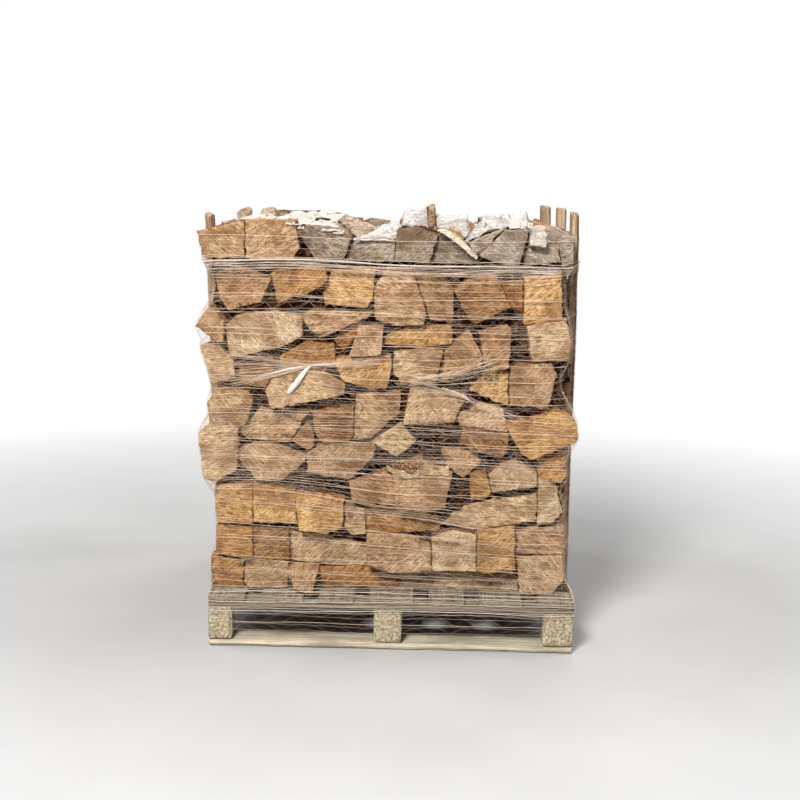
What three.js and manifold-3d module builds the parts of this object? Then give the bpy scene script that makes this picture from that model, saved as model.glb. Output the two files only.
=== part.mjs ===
// Netted pallet load of split firewood: a block pallet, six rough stakes, three rows of logs in ten
// courses each, and the knitted netting wrapped around them.
// Millimetres, +Z up. The origin is at the middle of the pallet's underside, and the front is -Y.

import * as THREE from 'three';
import { mergeVertices } from 'three/addons/utils/BufferGeometryUtils.js';
import Module from 'manifold-3d';

const wasm = await Module();
wasm.setup();

// Pallet
const PALLET_WIDTH = 1000;
const PALLET_LENGTH = 1200;
const BOARD = 18;
const CROSS_BOARD = 13;
const BLOCK_WIDTHS = { left: 66, centre: 78, right: 84 };
const CENTRE_BLOCK_X = -8;
const BLOCK_DEPTH = 96;
const BLOCK_HEIGHT = 95;
const DECK_TOP = 2 * BOARD + CROSS_BOARD + BLOCK_HEIGHT;
const DECK_BOARDS = [100, 118, 96, 122, 98, 116, 100];
const BOTTOM_BOARDS = { front: 102, middle: 96, rear: 100 };
const TOUCH = 0.3;

// Logs and their rows
const LOG_LENGTH = 335;
const ROW_PITCH = 355;
const ROWS = { front: -ROW_PITCH, middle: 0, rear: ROW_PITCH };
const LOAD_MIDDLE = -20;
const SHUFFLE = 6;
const COURSE_GAP = 0.8;
const FUSE = 0.6;
const BED = DECK_TOP + 1;

// Stakes: rough slabs, each with its own thickness, height, slanted top and lean towards +X.
const STAKE_DEPTH = 86;
const STAKE_TOP = 1205;
const LEFT_LEAN = -45;
const STAKE_CLEARANCE = 3;
const OPEN_END_FLARE = 120;
const STAKES = {
  left: {
    front: { thickness: 24, lean: LEFT_LEAN, top: STAKE_TOP - 29, slant: 8 },
    middle: { thickness: 24, lean: LEFT_LEAN, top: STAKE_TOP - 62, slant: -10 },
    rear: { thickness: 24, lean: LEFT_LEAN, top: STAKE_TOP - 72, slant: 12 },
  },
  right: {
    front: { thickness: 24, lean: 0, top: STAKE_TOP - 6, slant: 4 },
    middle: { thickness: 29, lean: -3, top: STAKE_TOP, slant: 12 },
    rear: { thickness: 36, lean: -16, top: STAKE_TOP - 2, slant: -6 },
  },
};

// Netting
const NET_THICKNESS = 2;
const NET_CORNER = 4;
const NET_MESH_HEIGHT = 110;
const NET_MESH_ROWS = 9;
const NET_MESH_COLUMNS = 2;
const NET_CORD = 14;

const COLOURS = {
  palletWood: 0xc4b48e,
  block: 0xbba983,
  bottomWood: 0xd9caa2,
  stake: 0xb8905f,
  log: 0xcba070,
  weathered: 0xb9a883,
  netting: 0xe6ddd2,
};

function material(colour, roughness) {
  return new THREE.MeshStandardMaterial({ color: colour, roughness, metalness: 0 });
}

const materials = {
  palletWood: material(COLOURS.palletWood, 0.85),
  block: material(COLOURS.block, 0.9),
  bottomWood: material(COLOURS.bottomWood, 0.85),
  stake: material(COLOURS.stake, 0.9),
  log: material(COLOURS.log, 0.85),
  weathered: material(COLOURS.weathered, 0.9),
  netting: material(COLOURS.netting, 0.55),
};

const load = new THREE.Group();

function add(name, geometry, finish) {
  const mesh = new THREE.Mesh(geometry, finish);
  mesh.name = name;
  load.add(mesh);
  return mesh;
}

function toSolid(geometry) {
  const bare = geometry.clone();
  bare.deleteAttribute('normal');
  bare.deleteAttribute('uv');
  const merged = mergeVertices(bare, 1e-4);
  return new wasm.Manifold(new wasm.Mesh({
    numProp: 3,
    vertProperties: Float32Array.from(merged.attributes.position.array),
    triVerts: Uint32Array.from(merged.index.array),
  }));
}

function fromSolid(solid) {
  const mesh = solid.getMesh();
  const geometry = new THREE.BufferGeometry();
  geometry.setAttribute('position', new THREE.BufferAttribute(Float32Array.from(mesh.vertProperties), 3));
  geometry.setIndex(Array.from(mesh.triVerts));
  geometry.computeVertexNormals();
  return geometry;
}

// ---------------------------------------------------------------------------------------------
// Pallet: bottom boards and cross boards lie along X, deck boards along Y, nine blocks between.

function board(name, finish, centre, size) {
  const mesh = add(name, new THREE.BoxGeometry(...size), finish);
  mesh.position.set(...centre);
}

const BLOCK_X = {
  left: (BLOCK_WIDTHS.left - PALLET_WIDTH) / 2,
  centre: CENTRE_BLOCK_X,
  right: (PALLET_WIDTH - BLOCK_WIDTHS.right) / 2,
};
const PALLET_SIDES = { front: -1, middle: 0, rear: 1 };

function placeAlongEdge(side, width) {
  return side * (PALLET_LENGTH - width) / 2;
}

for (const [place, side] of Object.entries(PALLET_SIDES)) {
  const width = BOTTOM_BOARDS[place];
  board(`bottom_board_${place}`, materials.bottomWood,
    [0, placeAlongEdge(side, width), BOARD / 2],
    [PALLET_WIDTH, width, BOARD]);
  for (const [column, x] of Object.entries(BLOCK_X)) {
    board(`block_${place}_${column}`, materials.block,
      [x, placeAlongEdge(side, BLOCK_DEPTH), BOARD + BLOCK_HEIGHT / 2],
      [BLOCK_WIDTHS[column], BLOCK_DEPTH, BLOCK_HEIGHT - 2 * TOUCH]);
  }
  board(`cross_board_${place}`, materials.palletWood,
    [0, placeAlongEdge(side, BLOCK_DEPTH), BOARD + BLOCK_HEIGHT + CROSS_BOARD / 2],
    [PALLET_WIDTH, BLOCK_DEPTH, CROSS_BOARD]);
}

const deckWood = DECK_BOARDS.reduce((sum, width) => sum + width, 0);
const deckGap = (PALLET_WIDTH - deckWood) / (DECK_BOARDS.length - 1);
let deckX = -PALLET_WIDTH / 2;
DECK_BOARDS.forEach((width, i) => {
  board(`deck_board_${i + 1}`, materials.palletWood,
    [deckX + width / 2, 0, DECK_TOP - BOARD / 2 + TOUCH / 2],
    [width, PALLET_LENGTH, BOARD - TOUCH]);
  deckX += width + deckGap;
});

// ---------------------------------------------------------------------------------------------
// Log ends of the front row, each a convex outline of x, z corners clockwise from its left, with
// how far its end stands out of the row's face.

function log(stand, ...corners) {
  const outline = [];
  for (let i = 0; i < corners.length; i += 2) {
    outline.push(new THREE.Vector2(corners[i], corners[i + 1]));
  }
  return { stand, outline };
}

const COURSES = [
  [ // on the deck
    log(4, -502, 235, -405, 222, -408, BED, -500, BED),
    log(8, -410, 222, -285, 225, -288, BED, -390, BED, -410, 160),
    log(52, -290, 212, -195, 206, -208, BED, -230, BED, -268, 160),
    log(-34, -215, 200, -90, 207, 15, 195, 18, BED, -215, BED),
    log(-42, 10, 185, 190, 196, 350, 190, 355, BED, 12, BED),
    log(12, 340, 250, 470, 262, 476, 190, 440, BED, 350, BED),
  ],
  [
    log(6, -487, 325, -385, 317, -385, 226, -489, 240),
    log(-2, -390, 316, -285, 315, -282, 222, -388, 224),
    log(-30, -290, 302, -200, 292, -70, 270, -68, 212, -160, 206, -286, 218),
    log(10, -76, 300, 48, 300, 110, 270, 110, 204, 0, 196, -72, 216),
    log(2, 105, 305, 168, 325, 232, 312, 234, 206, 108, 203),
    log(14, 228, 320, 345, 338, 349, 213, 255, 202, 230, 212),
    log(-8, 333, 312, 375, 328, 470, 345, 478, 297, 470, 258, 335, 254),
  ],
  [
    log(2, -492, 440, -385, 445, -383, 326, -488, 328),
    log(-6, -388, 440, -270, 418, -263, 326, -388, 328),
    log(8, -274, 416, -132, 402, -133, 316, -175, 304, -258, 312),
    log(-12, -138, 388, -78, 374, -72, 302, -115, 298, -138, 322),
    log(-38, -84, 375, 40, 380, 134, 350, 134, 312, 45, 303, -78, 302),
    log(-16, 128, 332, 165, 362, 225, 395, 398, 432, 400, 350, 345, 340, 232, 316),
    log(4, 384, 468, 400, 485, 448, 447, 464, 380, 440, 348, 386, 342),
  ],
  [
    log(4, -126, 455, -30, 486, 4, 472, 12, 384, -115, 396),
    log(20, -10, 492, 75, 525, 160, 492, 141, 388, 60, 366, 2, 372),
    log(-10, 128, 545, 210, 547, 242, 515, 186, 462, 148, 486),
    log(-18, 205, 480, 222, 492, 256, 492, 274, 430, 250, 404, 212, 408),
    log(10, 254, 480, 290, 515, 325, 522, 405, 487, 406, 450, 268, 430),
    log(-4, 388, 528, 466, 540, 474, 480, 450, 450, 390, 468),
  ],
  [
    log(22, -536, 585, -505, 602, -420, 602, -422, 510, -435, 475, -490, 446, -520, 456),
    log(-6, -428, 535, -385, 555, -335, 555, -230, 515, -295, 470, -308, 450, -375, 448, -424, 500),
    log(12, -238, 530, -205, 550, -145, 562, -50, 557, -58, 522, -105, 472, -125, 460, -238, 476),
    log(-14, -72, 562, 20, 620, 62, 570, 5, 516),
    log(6, 40, 720, 186, 702, 192, 685, 162, 622, 20, 612, 34, 665),
    log(-2, 168, 648, 230, 680, 300, 662, 312, 596, 176, 612),
    log(16, 176, 575, 182, 612, 312, 598, 308, 545, 290, 526, 205, 548),
    log(26, 300, 620, 420, 655, 445, 665, 492, 635, 497, 590, 486, 574, 375, 528, 345, 542),
  ],
  [
    log(14, -512, 665, -486, 716, -400, 711, -385, 675, -402, 604, -506, 604),
    log(-8, -432, 584, -376, 656, -355, 640, -252, 612, -278, 588, -285, 556, -405, 560),
    log(-16, -340, 630, -215, 662, -232, 640, -265, 600),
    log(-4, -286, 560, -240, 622, -222, 590, -218, 548, -234, 534),
    log(10, -230, 646, -180, 660, -108, 662, -112, 580, -125, 564, -195, 552, -222, 588),
    log(0, -112, 640, -106, 696, 12, 706, 12, 650, -15, 622, -50, 574, -115, 568),
  ],
  [
    log(18, -532, 820, -480, 826, -440, 790, -428, 745, -458, 725, -500, 718),
    log(-48, -446, 770, -345, 775, -330, 735, -350, 690, -440, 700),
    log(-6, -316, 795, -250, 835, -168, 832, -162, 778, -235, 766, -318, 750),
    log(24, -360, 716, -325, 748, -185, 764, -134, 732, -134, 696, -260, 666, -338, 650),
    log(2, -168, 795, -15, 806, -8, 770, -24, 712, -70, 708, -150, 730),
    log(12, -12, 815, 100, 826, 132, 815, 112, 724, 18, 722, -14, 765),
    log(-12, 118, 800, 140, 832, 195, 880, 238, 805, 230, 772, 135, 735, 112, 728),
    log(6, 215, 876, 300, 896, 312, 880, 308, 768, 262, 750, 234, 790),
    log(-10, 200, 714, 232, 748, 270, 768, 308, 762, 312, 670, 275, 676),
    log(14, 308, 780, 322, 792, 420, 797, 437, 765, 426, 705, 415, 664, 308, 676),
  ],
  [
    log(26, -541, 875, -505, 930, -464, 890, -464, 835, -478, 830),
    log(-4, -468, 872, -435, 902, -325, 916, -252, 902, -256, 850, -305, 820, -355, 815, -415, 793, -452, 793),
    log(8, -262, 902, -235, 922, -62, 922, -90, 894, -140, 872, -210, 846, -250, 880),
    log(-14, -172, 836, -150, 878, -92, 906, -112, 850, -148, 806),
    log(20, -104, 888, -33, 888, -38, 803, -128, 800),
    log(-8, -40, 854, 25, 882, 150, 886, 152, 840, 65, 824, -40, 832),
  ],
  [
    log(-6, -496, 1015, -450, 1036, -410, 1036, -336, 1006, -366, 938, -460, 916, -486, 960),
    log(16, -346, 1020, -315, 1036, -200, 1042, -182, 1000, -235, 970, -325, 936),
    log(-10, -190, 1030, -55, 1036, -62, 960, -82, 928, -200, 936, -206, 985),
    log(12, -70, 978, -30, 1046, 40, 1046, 58, 995, 78, 920, 72, 890, -15, 886, -62, 900),
    log(-20, 36, 1036, 100, 1031, 152, 992, 157, 892, 85, 900),
    log(20, 148, 990, 195, 1021, 266, 1031, 307, 945, 210, 894, 176, 930),
    log(-14, 268, 1012, 342, 1016, 338, 922, 300, 946),
    log(2, 334, 1030, 441, 1036, 450, 905, 338, 892),
    log(10, 350, 896, 456, 914, 471, 855, 466, 800, 366, 796),
  ],
  [
    log(28, -541, 1130, -425, 1161, -408, 1156, -408, 1058, -526, 1054),
    log(20, -412, 1161, -275, 1161, -262, 1090, -285, 1060, -412, 1056),
    log(6, -274, 1132, -250, 1152, -135, 1142, -122, 1115, -144, 1060, -222, 1058),
    log(-12, -132, 1100, -105, 1116, -3, 1120, -12, 1056, -142, 1058),
    log(14, -8, 1145, 50, 1151, 112, 1131, 84, 1054, -15, 1058),
    log(-8, 108, 1141, 155, 1121, 216, 1074, 208, 1056, 80, 1054),
    log(2, 186, 1108, 282, 1151, 226, 1086, 200, 1080),
    log(18, 206, 1080, 236, 1102, 280, 1145, 350, 1151, 327, 1054, 275, 1056),
    log(-6, 328, 1084, 345, 1100, 426, 1113, 442, 1064, 338, 1052),
    log(-16, 422, 1112, 438, 1152, 470, 1142, 472, 1050, 436, 1050),
  ],
];

// The other rows hold the same run of logs turned round or shifted, so that no two rows are alike.

function mirrored(outline) {
  return outline.map((p) => new THREE.Vector2(2 * LOAD_MIDDLE - p.x, p.y)).reverse();
}

function rowLogs(row) {
  return COURSES.map((course, level) => course.map(({ stand, outline }, i) => {
    const turned = row === 'middle' ? mirrored(outline) : outline.map((p) => p.clone());
    const shuffle = SHUFFLE * Math.sin(2.3 * i + 1.7 * level);
    const stands = { front: stand, middle: shuffle, rear: 2 * shuffle + 0.3 * stand };
    return { level, stand: stands[row], outline: turned };
  }));
}

// Where a log starts and ends along Y: only the end that shows stands out of its row.
function reachOf(row, stand) {
  const start = ROWS[row] - LOG_LENGTH / 2;
  const end = ROWS[row] + LOG_LENGTH / 2;
  return {
    front: [start - stand, Math.min(end, end - stand)],
    middle: [start - stand, end - stand],
    rear: [Math.max(start, start + stand), end + stand],
  }[row];
}

// ---------------------------------------------------------------------------------------------
// Outlines that overlap are parted along the edge direction in which they overlap least.

function edgesOf(outline) {
  return outline.map((p, i) => {
    const q = outline[(i + 1) % outline.length];
    const normal = new THREE.Vector2(p.y - q.y, q.x - p.x).normalize();
    return { normal, reach: normal.dot(p) };
  });
}

function leastOverlap(a, b) {
  let best = null;
  for (const { normal, reach } of edgesOf(a)) {
    const near = Math.min(...b.map((p) => normal.dot(p)));
    if (best === null || reach - near < best.depth) {
      best = { normal, depth: reach - near, middle: (reach + near) / 2 };
    }
  }
  return best;
}

function clip(outline, normal, reach) {
  const kept = [];
  outline.forEach((p, i) => {
    const q = outline[(i + 1) % outline.length];
    const over = normal.dot(p) - reach;
    const nextOver = normal.dot(q) - reach;
    if (over <= 0) {
      kept.push(p);
    }
    if (over * nextOver < 0) {
      kept.push(p.clone().lerp(q, over / (over - nextOver)));
    }
  });
  return kept;
}

function part(a, b, gap) {
  const fromA = leastOverlap(a.outline, b.outline);
  const fromB = leastOverlap(b.outline, a.outline);
  const [first, second, cut] = fromA.depth < fromB.depth ? [a, b, fromA] : [b, a, fromB];
  if (cut.depth <= -gap) {
    return;
  }
  first.outline = clip(first.outline, cut.normal, cut.middle - gap / 2);
  second.outline = clip(second.outline, cut.normal.clone().negate(), -cut.middle - gap / 2);
}

function partPairs(logs, sameCourse, gap) {
  logs.forEach((a, i) => {
    for (const b of logs.slice(i + 1)) {
      if ((a.level === b.level) === sameCourse) {
        part(a, b, gap);
      }
    }
  });
}

// Courses are parted first, so that what still overlaps within a course stays joined.
function settle(courses) {
  const logs = courses.flat();
  partPairs(logs, false, COURSE_GAP);
  partPairs(logs, true, -FUSE);
}

// ---------------------------------------------------------------------------------------------
// Logs run straight along Y, and the ends that stand wide of the stakes draw in to pass them.

function prism(outline, y0, y1) {
  const geometry = new THREE.ExtrudeGeometry(new THREE.Shape(outline), {
    depth: y1 - y0,
    bevelEnabled: false,
  });
  return geometry.rotateX(Math.PI / 2).translate(0, y1, 0);
}

function leanAt(lean, z) {
  return lean * (z - DECK_TOP) / (STAKE_TOP - DECK_TOP);
}

// The room between the stakes of one row: a plan outline whose sides lean with the stakes.
function bay(row, y) {
  const left = STAKES.left[row];
  const right = STAKES.right[row];
  const front = y - STAKE_DEPTH / 2 - STAKE_CLEARANCE;
  const rear = y + STAKE_DEPTH / 2 + STAKE_CLEARANCE;
  const frontFlare = row === 'front' ? OPEN_END_FLARE : 0;
  const rearFlare = row === 'rear' ? OPEN_END_FLARE : 0;
  const [leftSide, rightSide] = [left, right]
    .map(({ thickness }) => PALLET_WIDTH / 2 - thickness - STAKE_CLEARANCE);
  const plan = [
    [-leftSide - frontFlare, y - LOG_LENGTH], [rightSide + frontFlare, y - LOG_LENGTH],
    [rightSide, front], [rightSide, rear],
    [rightSide + rearFlare, y + LOG_LENGTH], [-leftSide - rearFlare, y + LOG_LENGTH],
    [-leftSide, rear], [-leftSide, front],
  ].map(([px, py]) => new THREE.Vector2(px, py));
  const geometry = new THREE.ExtrudeGeometry(new THREE.Shape(plan), {
    depth: STAKE_TOP + 100,
    bevelEnabled: false,
  });
  const place = geometry.attributes.position;
  for (let i = 0; i < place.count; i += 1) {
    const x = place.getX(i);
    const { lean } = x < 0 ? left : right;
    place.setX(i, x + leanAt(lean, place.getZ(i)));
  }
  return toSolid(geometry);
}

for (const [row, y] of Object.entries(ROWS)) {
  const courses = rowLogs(row);
  settle(courses);
  const room = bay(row, y);
  courses.forEach((course, level) => {
    const solid = course
      .map(({ stand, outline }) => {
        const [near, far] = reachOf(row, stand);
        return toSolid(prism(outline, near, far));
      })
      .reduce((whole, one) => whole.add(one))
      .intersect(room);
    const finish = level === COURSES.length - 1 ? materials.weathered : materials.log;
    add(`logs_${row}_course_${level + 1}`, fromSolid(solid), finish);
  });
}

// ---------------------------------------------------------------------------------------------
// Each stake stands on the deck and narrows a little towards its top.

function stake(side, y, { thickness, lean, top, slant }) {
  const taper = 0.9;
  const bevel = 5;
  const foot = DECK_TOP + 2 * TOUCH;
  const thin = thickness / 2;
  const deep = STAKE_DEPTH / 2;
  const section = [
    [-thin, -deep + bevel], [-thin + bevel, -deep], [thin, -deep],
    [thin, deep - bevel], [thin - bevel, deep], [-thin, deep],
  ].map(([px, py]) => new THREE.Vector2(px, py));
  const geometry = new THREE.ExtrudeGeometry(new THREE.Shape(section), {
    depth: top - foot,
    bevelEnabled: false,
  });
  const place = geometry.attributes.position;
  for (let i = 0; i < place.count; i += 1) {
    const high = place.getZ(i) > 0 ? 1 : 0;
    const deeper = place.getY(i) * (high ? taper : 1);
    const drop = high * Math.abs(slant) * (0.5 - Math.sign(slant) * deeper / STAKE_DEPTH);
    place.setXYZ(i, place.getX(i) + high * leanAt(lean, top), deeper, place.getZ(i) - drop);
  }
  geometry.computeVertexNormals();
  return geometry.translate(side * (PALLET_WIDTH / 2 - thin), y, foot);
}

for (const [name, side] of [['left', -1], ['right', 1]]) {
  for (const [row, shape] of Object.entries(STAKES[name])) {
    add(`stake_${name}_${row}`, stake(side, ROWS[row], shape), materials.stake);
  }
}

// ---------------------------------------------------------------------------------------------
// Netting: a thin band drawn tight around the deck, the logs and the stakes, open at the top. Its
// meshes are far coarser than the knitted ones, so that the logs show through.

const NET_LEVELS = [
  { z: 112, left: 503, right: 503, ends: 603 },
  { z: 150, left: 504, right: 503, ends: 603 },
  { z: 226, left: 509, right: 504, ends: 590 },
  { z: 330, left: 520, right: 504, ends: 562 },
  { z: 600, left: 546, right: 506, ends: 560 },
  { z: 1060, left: 553, right: 506, ends: 561 },
  { z: 1150, left: 555, right: 506, ends: 561 },
];

function ringAt({ left, right, ends }, grow) {
  const l = -left - grow;
  const r = right + grow;
  const e = ends + grow;
  const c = NET_CORNER;
  return [
    [l + c, -e], [r - c, -e], [r, -e + c], [r, e - c],
    [r - c, e], [l + c, e], [l, e - c], [l, -e + c],
  ];
}

function netBand() {
  const rings = [
    ...NET_LEVELS.map((level) => ({ z: level.z, ring: ringAt(level, NET_THICKNESS) })),
    ...[...NET_LEVELS].reverse().map((level) => ({ z: level.z, ring: ringAt(level, 0) })),
  ];
  const around = rings[0].ring.length;
  const places = rings.flatMap(({ z, ring }) => ring.flatMap(([px, py]) => [px, py, z]));
  const faces = [];
  rings.forEach((_, i) => {
    const next = (i + 1) % rings.length;
    for (let k = 0; k < around; k += 1) {
      const a = i * around + k;
      const b = i * around + (k + 1) % around;
      const c = next * around + (k + 1) % around;
      const d = next * around + k;
      faces.push(a, b, c, a, c, d);
    }
  });
  const geometry = new THREE.BufferGeometry();
  geometry.setAttribute('position', new THREE.Float32BufferAttribute(places, 3));
  geometry.setIndex(faces);
  geometry.computeVertexNormals();
  return geometry;
}

// The windows of one direction, each cut through both faces that it crosses.
function netWindows(span, middle, turn) {
  const windows = [];
  const pitch = (span - NET_CORD) / NET_MESH_COLUMNS;
  for (let row = 0; row < NET_MESH_ROWS; row += 1) {
    for (let column = 0; column < NET_MESH_COLUMNS; column += 1) {
      const across = middle + (column - (NET_MESH_COLUMNS - 1) / 2) * pitch;
      const z = NET_LEVELS[1].z + (row + 0.5) * NET_MESH_HEIGHT;
      const size = [pitch - NET_CORD, 2 * PALLET_LENGTH, NET_MESH_HEIGHT - NET_CORD];
      const geometry = new THREE.BoxGeometry(...size).translate(across, 0, z);
      windows.push(toSolid(turn ? geometry.rotateZ(Math.PI / 2) : geometry));
    }
  }
  return windows;
}

const netFront = PALLET_WIDTH - 2 * NET_CORD;
const netSide = 2 * NET_LEVELS[NET_LEVELS.length - 1].ends - 2 * NET_CORD;
const netting = [...netWindows(netFront, LOAD_MIDDLE, false), ...netWindows(netSide, 0, true)]
  .reduce((net, window) => net.subtract(window), toSolid(netBand()));
add('netting', fromSolid(netting), materials.netting);

export default load;
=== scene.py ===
"""The looks of a netted pallet load of split firewood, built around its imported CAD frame.

Every log is cut from the outline of its end in the CAD solids, so the two models agree. Metres, +Z up,
the front with the log ends is -Y.
"""

import math

import bpy
import numpy as np
from mathutils import Matrix, Vector, geometry


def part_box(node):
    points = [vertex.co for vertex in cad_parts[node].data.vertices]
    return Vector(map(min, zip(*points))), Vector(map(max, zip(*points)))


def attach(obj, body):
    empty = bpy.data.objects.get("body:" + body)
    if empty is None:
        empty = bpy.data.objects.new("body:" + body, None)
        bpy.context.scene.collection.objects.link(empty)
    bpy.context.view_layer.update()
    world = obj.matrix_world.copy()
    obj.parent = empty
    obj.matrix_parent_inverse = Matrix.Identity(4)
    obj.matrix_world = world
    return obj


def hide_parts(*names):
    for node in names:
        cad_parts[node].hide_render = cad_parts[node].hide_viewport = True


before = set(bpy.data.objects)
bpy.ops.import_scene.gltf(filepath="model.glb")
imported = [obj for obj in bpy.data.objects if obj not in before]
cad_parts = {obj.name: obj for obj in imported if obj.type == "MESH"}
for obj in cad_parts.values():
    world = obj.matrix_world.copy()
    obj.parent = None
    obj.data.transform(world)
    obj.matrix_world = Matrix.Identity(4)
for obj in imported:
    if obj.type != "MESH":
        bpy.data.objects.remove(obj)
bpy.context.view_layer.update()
ROWS = ("front", "middle", "rear")
COURSES = 10
LOG_LENGTH = 0.335
OPEN_END_FLARE = 0.120

# ---------------------------------------------------------------------------------------------
# Camera: as far off and as long a lens as the photograph's.


def add_camera():
    """The camera stands a little above the load's top and looks down on it, hand-held."""
    stand = (0.046, -4.559, 1.30)
    yaw, pitch, roll = (math.radians(a) for a in (0.48, 8.71, 1.21))
    data = bpy.data.cameras.new("camera")
    data.lens = 67.5
    data.sensor_width = 36
    camera = bpy.data.objects.new("camera", data)
    turn = (
        Matrix.Rotation(yaw, 4, "Z")
        @ Matrix.Rotation(math.pi / 2 - pitch, 4, "X")
        @ Matrix.Rotation(roll, 4, "Z")
    )
    camera.matrix_world = Matrix.Translation(stand) @ turn
    bpy.context.scene.collection.objects.link(camera)
    bpy.context.scene.camera = camera


add_camera()

# ---------------------------------------------------------------------------------------------
# Smooth seeded noise on numpy arrays.


def lattice(seed, *cells):
    """A repeatable value from -1 to 1 for each whole-numbered cell."""
    mixed = np.full(np.shape(cells[0]), seed * 374761393 % 4294967296, np.uint64)
    for cell, factor in zip(cells, (668265263, 2246822519, 3266489917)):
        mixed = (mixed + np.asarray(cell, np.int64).astype(np.uint64) * factor) & 0xFFFFFFFF
        mixed = ((mixed ^ (mixed >> 15)) * 2246822519) & 0xFFFFFFFF
        mixed = ((mixed ^ (mixed >> 13)) * 3266489917) & 0xFFFFFFFF
    return ((mixed ^ (mixed >> 16)) & 0xFFFF) / 32767.5 - 1.0


def noise(seed, a, b):
    """Value noise over two coordinates, from -1 to 1, with one cell to a unit."""
    a, b = np.broadcast_arrays(np.asarray(a, float), np.asarray(b, float))
    cell_a, cell_b = np.floor(a), np.floor(b)
    fa, fb = a - cell_a, b - cell_b
    fa = fa * fa * (3 - 2 * fa)
    fb = fb * fb * (3 - 2 * fb)
    near = lattice(seed, cell_a, cell_b) * (1 - fa) + lattice(seed, cell_a + 1, cell_b) * fa
    far = lattice(seed, cell_a, cell_b + 1) * (1 - fa) + lattice(seed, cell_a + 1, cell_b + 1) * fa
    return near * (1 - fb) + far * fb


# ---------------------------------------------------------------------------------------------
# Material nodes.


class Nodes:
    """A short way to write a material's node tree: each method adds one node and returns a socket."""

    def __init__(self, name):
        self.material = bpy.data.materials.new(name)
        self.material.use_nodes = True
        self.tree = self.material.node_tree
        self.shader = self.tree.nodes["Principled BSDF"]

    def put(self, socket, value):
        if isinstance(value, bpy.types.NodeSocket):
            self.tree.links.new(value, socket)
        elif value is not None:
            socket.default_value = value

    def attribute(self, name, part="Vector"):
        node = self.tree.nodes.new("ShaderNodeAttribute")
        node.attribute_name = name
        return node.outputs[part]

    def position(self):
        return self.tree.nodes.new("ShaderNodeNewGeometry").outputs["Position"]

    def facing(self):
        """The surface's own direction, halved and moved to run from 0 to 1."""
        normal = self.tree.nodes.new("ShaderNodeNewGeometry").outputs["True Normal"]
        node = self.tree.nodes.new("ShaderNodeVectorMath")
        node.operation = "MULTIPLY_ADD"
        for socket, value in zip(node.inputs, (normal, (0.5, 0.5, 0.5), (0.5, 0.5, 0.5))):
            self.put(socket, value)
        return node.outputs["Vector"]

    def split(self, vector):
        node = self.tree.nodes.new("ShaderNodeSeparateXYZ")
        self.put(node.inputs[0], vector)
        return node.outputs

    def join(self, x, y, z):
        node = self.tree.nodes.new("ShaderNodeCombineXYZ")
        for socket, value in zip(node.inputs, (x, y, z)):
            self.put(socket, value)
        return node.outputs[0]

    def math(self, operation, a, b=None, c=None, clamp=False):
        node = self.tree.nodes.new("ShaderNodeMath")
        node.operation = operation
        node.use_clamp = clamp
        for socket, value in zip(node.inputs, (a, b, c)):
            self.put(socket, value)
        return node.outputs[0]

    def vector(self, operation, a, b):
        node = self.tree.nodes.new("ShaderNodeVectorMath")
        node.operation = operation
        self.put(node.inputs[0], a)
        self.put(node.inputs[1], b)
        return node.outputs["Value" if operation == "LENGTH" else "Vector"]

    def stretch(self, parts, factors):
        """A place whose parts are each multiplied by a factor, which draws a pattern out along an axis."""
        return self.join(*(self.math("MULTIPLY", part, factor) for part, factor in zip(parts, factors)))

    def noise(self, vector, scale, detail=3.0, rough=0.55, warp=0.0):
        node = self.tree.nodes.new("ShaderNodeTexNoise")
        self.put(node.inputs["Vector"], vector)
        for key, value in (("Scale", scale), ("Detail", detail), ("Roughness", rough), ("Distortion", warp)):
            node.inputs[key].default_value = value
        return node.outputs["Fac"]

    def ramp(self, value, *stops):
        node = self.tree.nodes.new("ShaderNodeValToRGB")
        band = node.color_ramp
        for place, _ in stops[2:]:
            band.elements.new(place)
        for element, (place, colour) in zip(band.elements, stops):
            element.position = place
            element.color = (*colour, 1) if isinstance(colour, tuple) else (colour,) * 3 + (1,)
        self.put(node.inputs[0], value)
        return node.outputs[0]

    def mix(self, factor, a, b, blend="MIX"):
        node = self.tree.nodes.new("ShaderNodeMix")
        node.data_type = "RGBA"
        node.blend_type = blend
        self.put(node.inputs["Factor"], factor)
        for key, value in (("A", a), ("B", b)):
            socket = next(s for s in node.inputs if s.name == key and s.type == "RGBA")
            self.put(socket, (*value, 1) if isinstance(value, tuple) else value)
        return next(s for s in node.outputs if s.type == "RGBA")

    def tinted(self, colour, tint):
        return self.mix(1.0, colour, tint, "MULTIPLY")

    def finish(self, colour, height, rough, bump=0.4, distance=0.002, specular=0.25):
        self.put(self.shader.inputs["Base Color"], colour)
        self.put(self.shader.inputs["Roughness"], rough)
        self.shader.inputs["Specular IOR Level"].default_value = specular
        node = self.tree.nodes.new("ShaderNodeBump")
        node.inputs["Strength"].default_value = bump
        node.inputs["Distance"].default_value = distance
        self.put(node.inputs["Height"], height)
        self.put(self.shader.inputs["Normal"], node.outputs[0])
        return self.material


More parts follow.
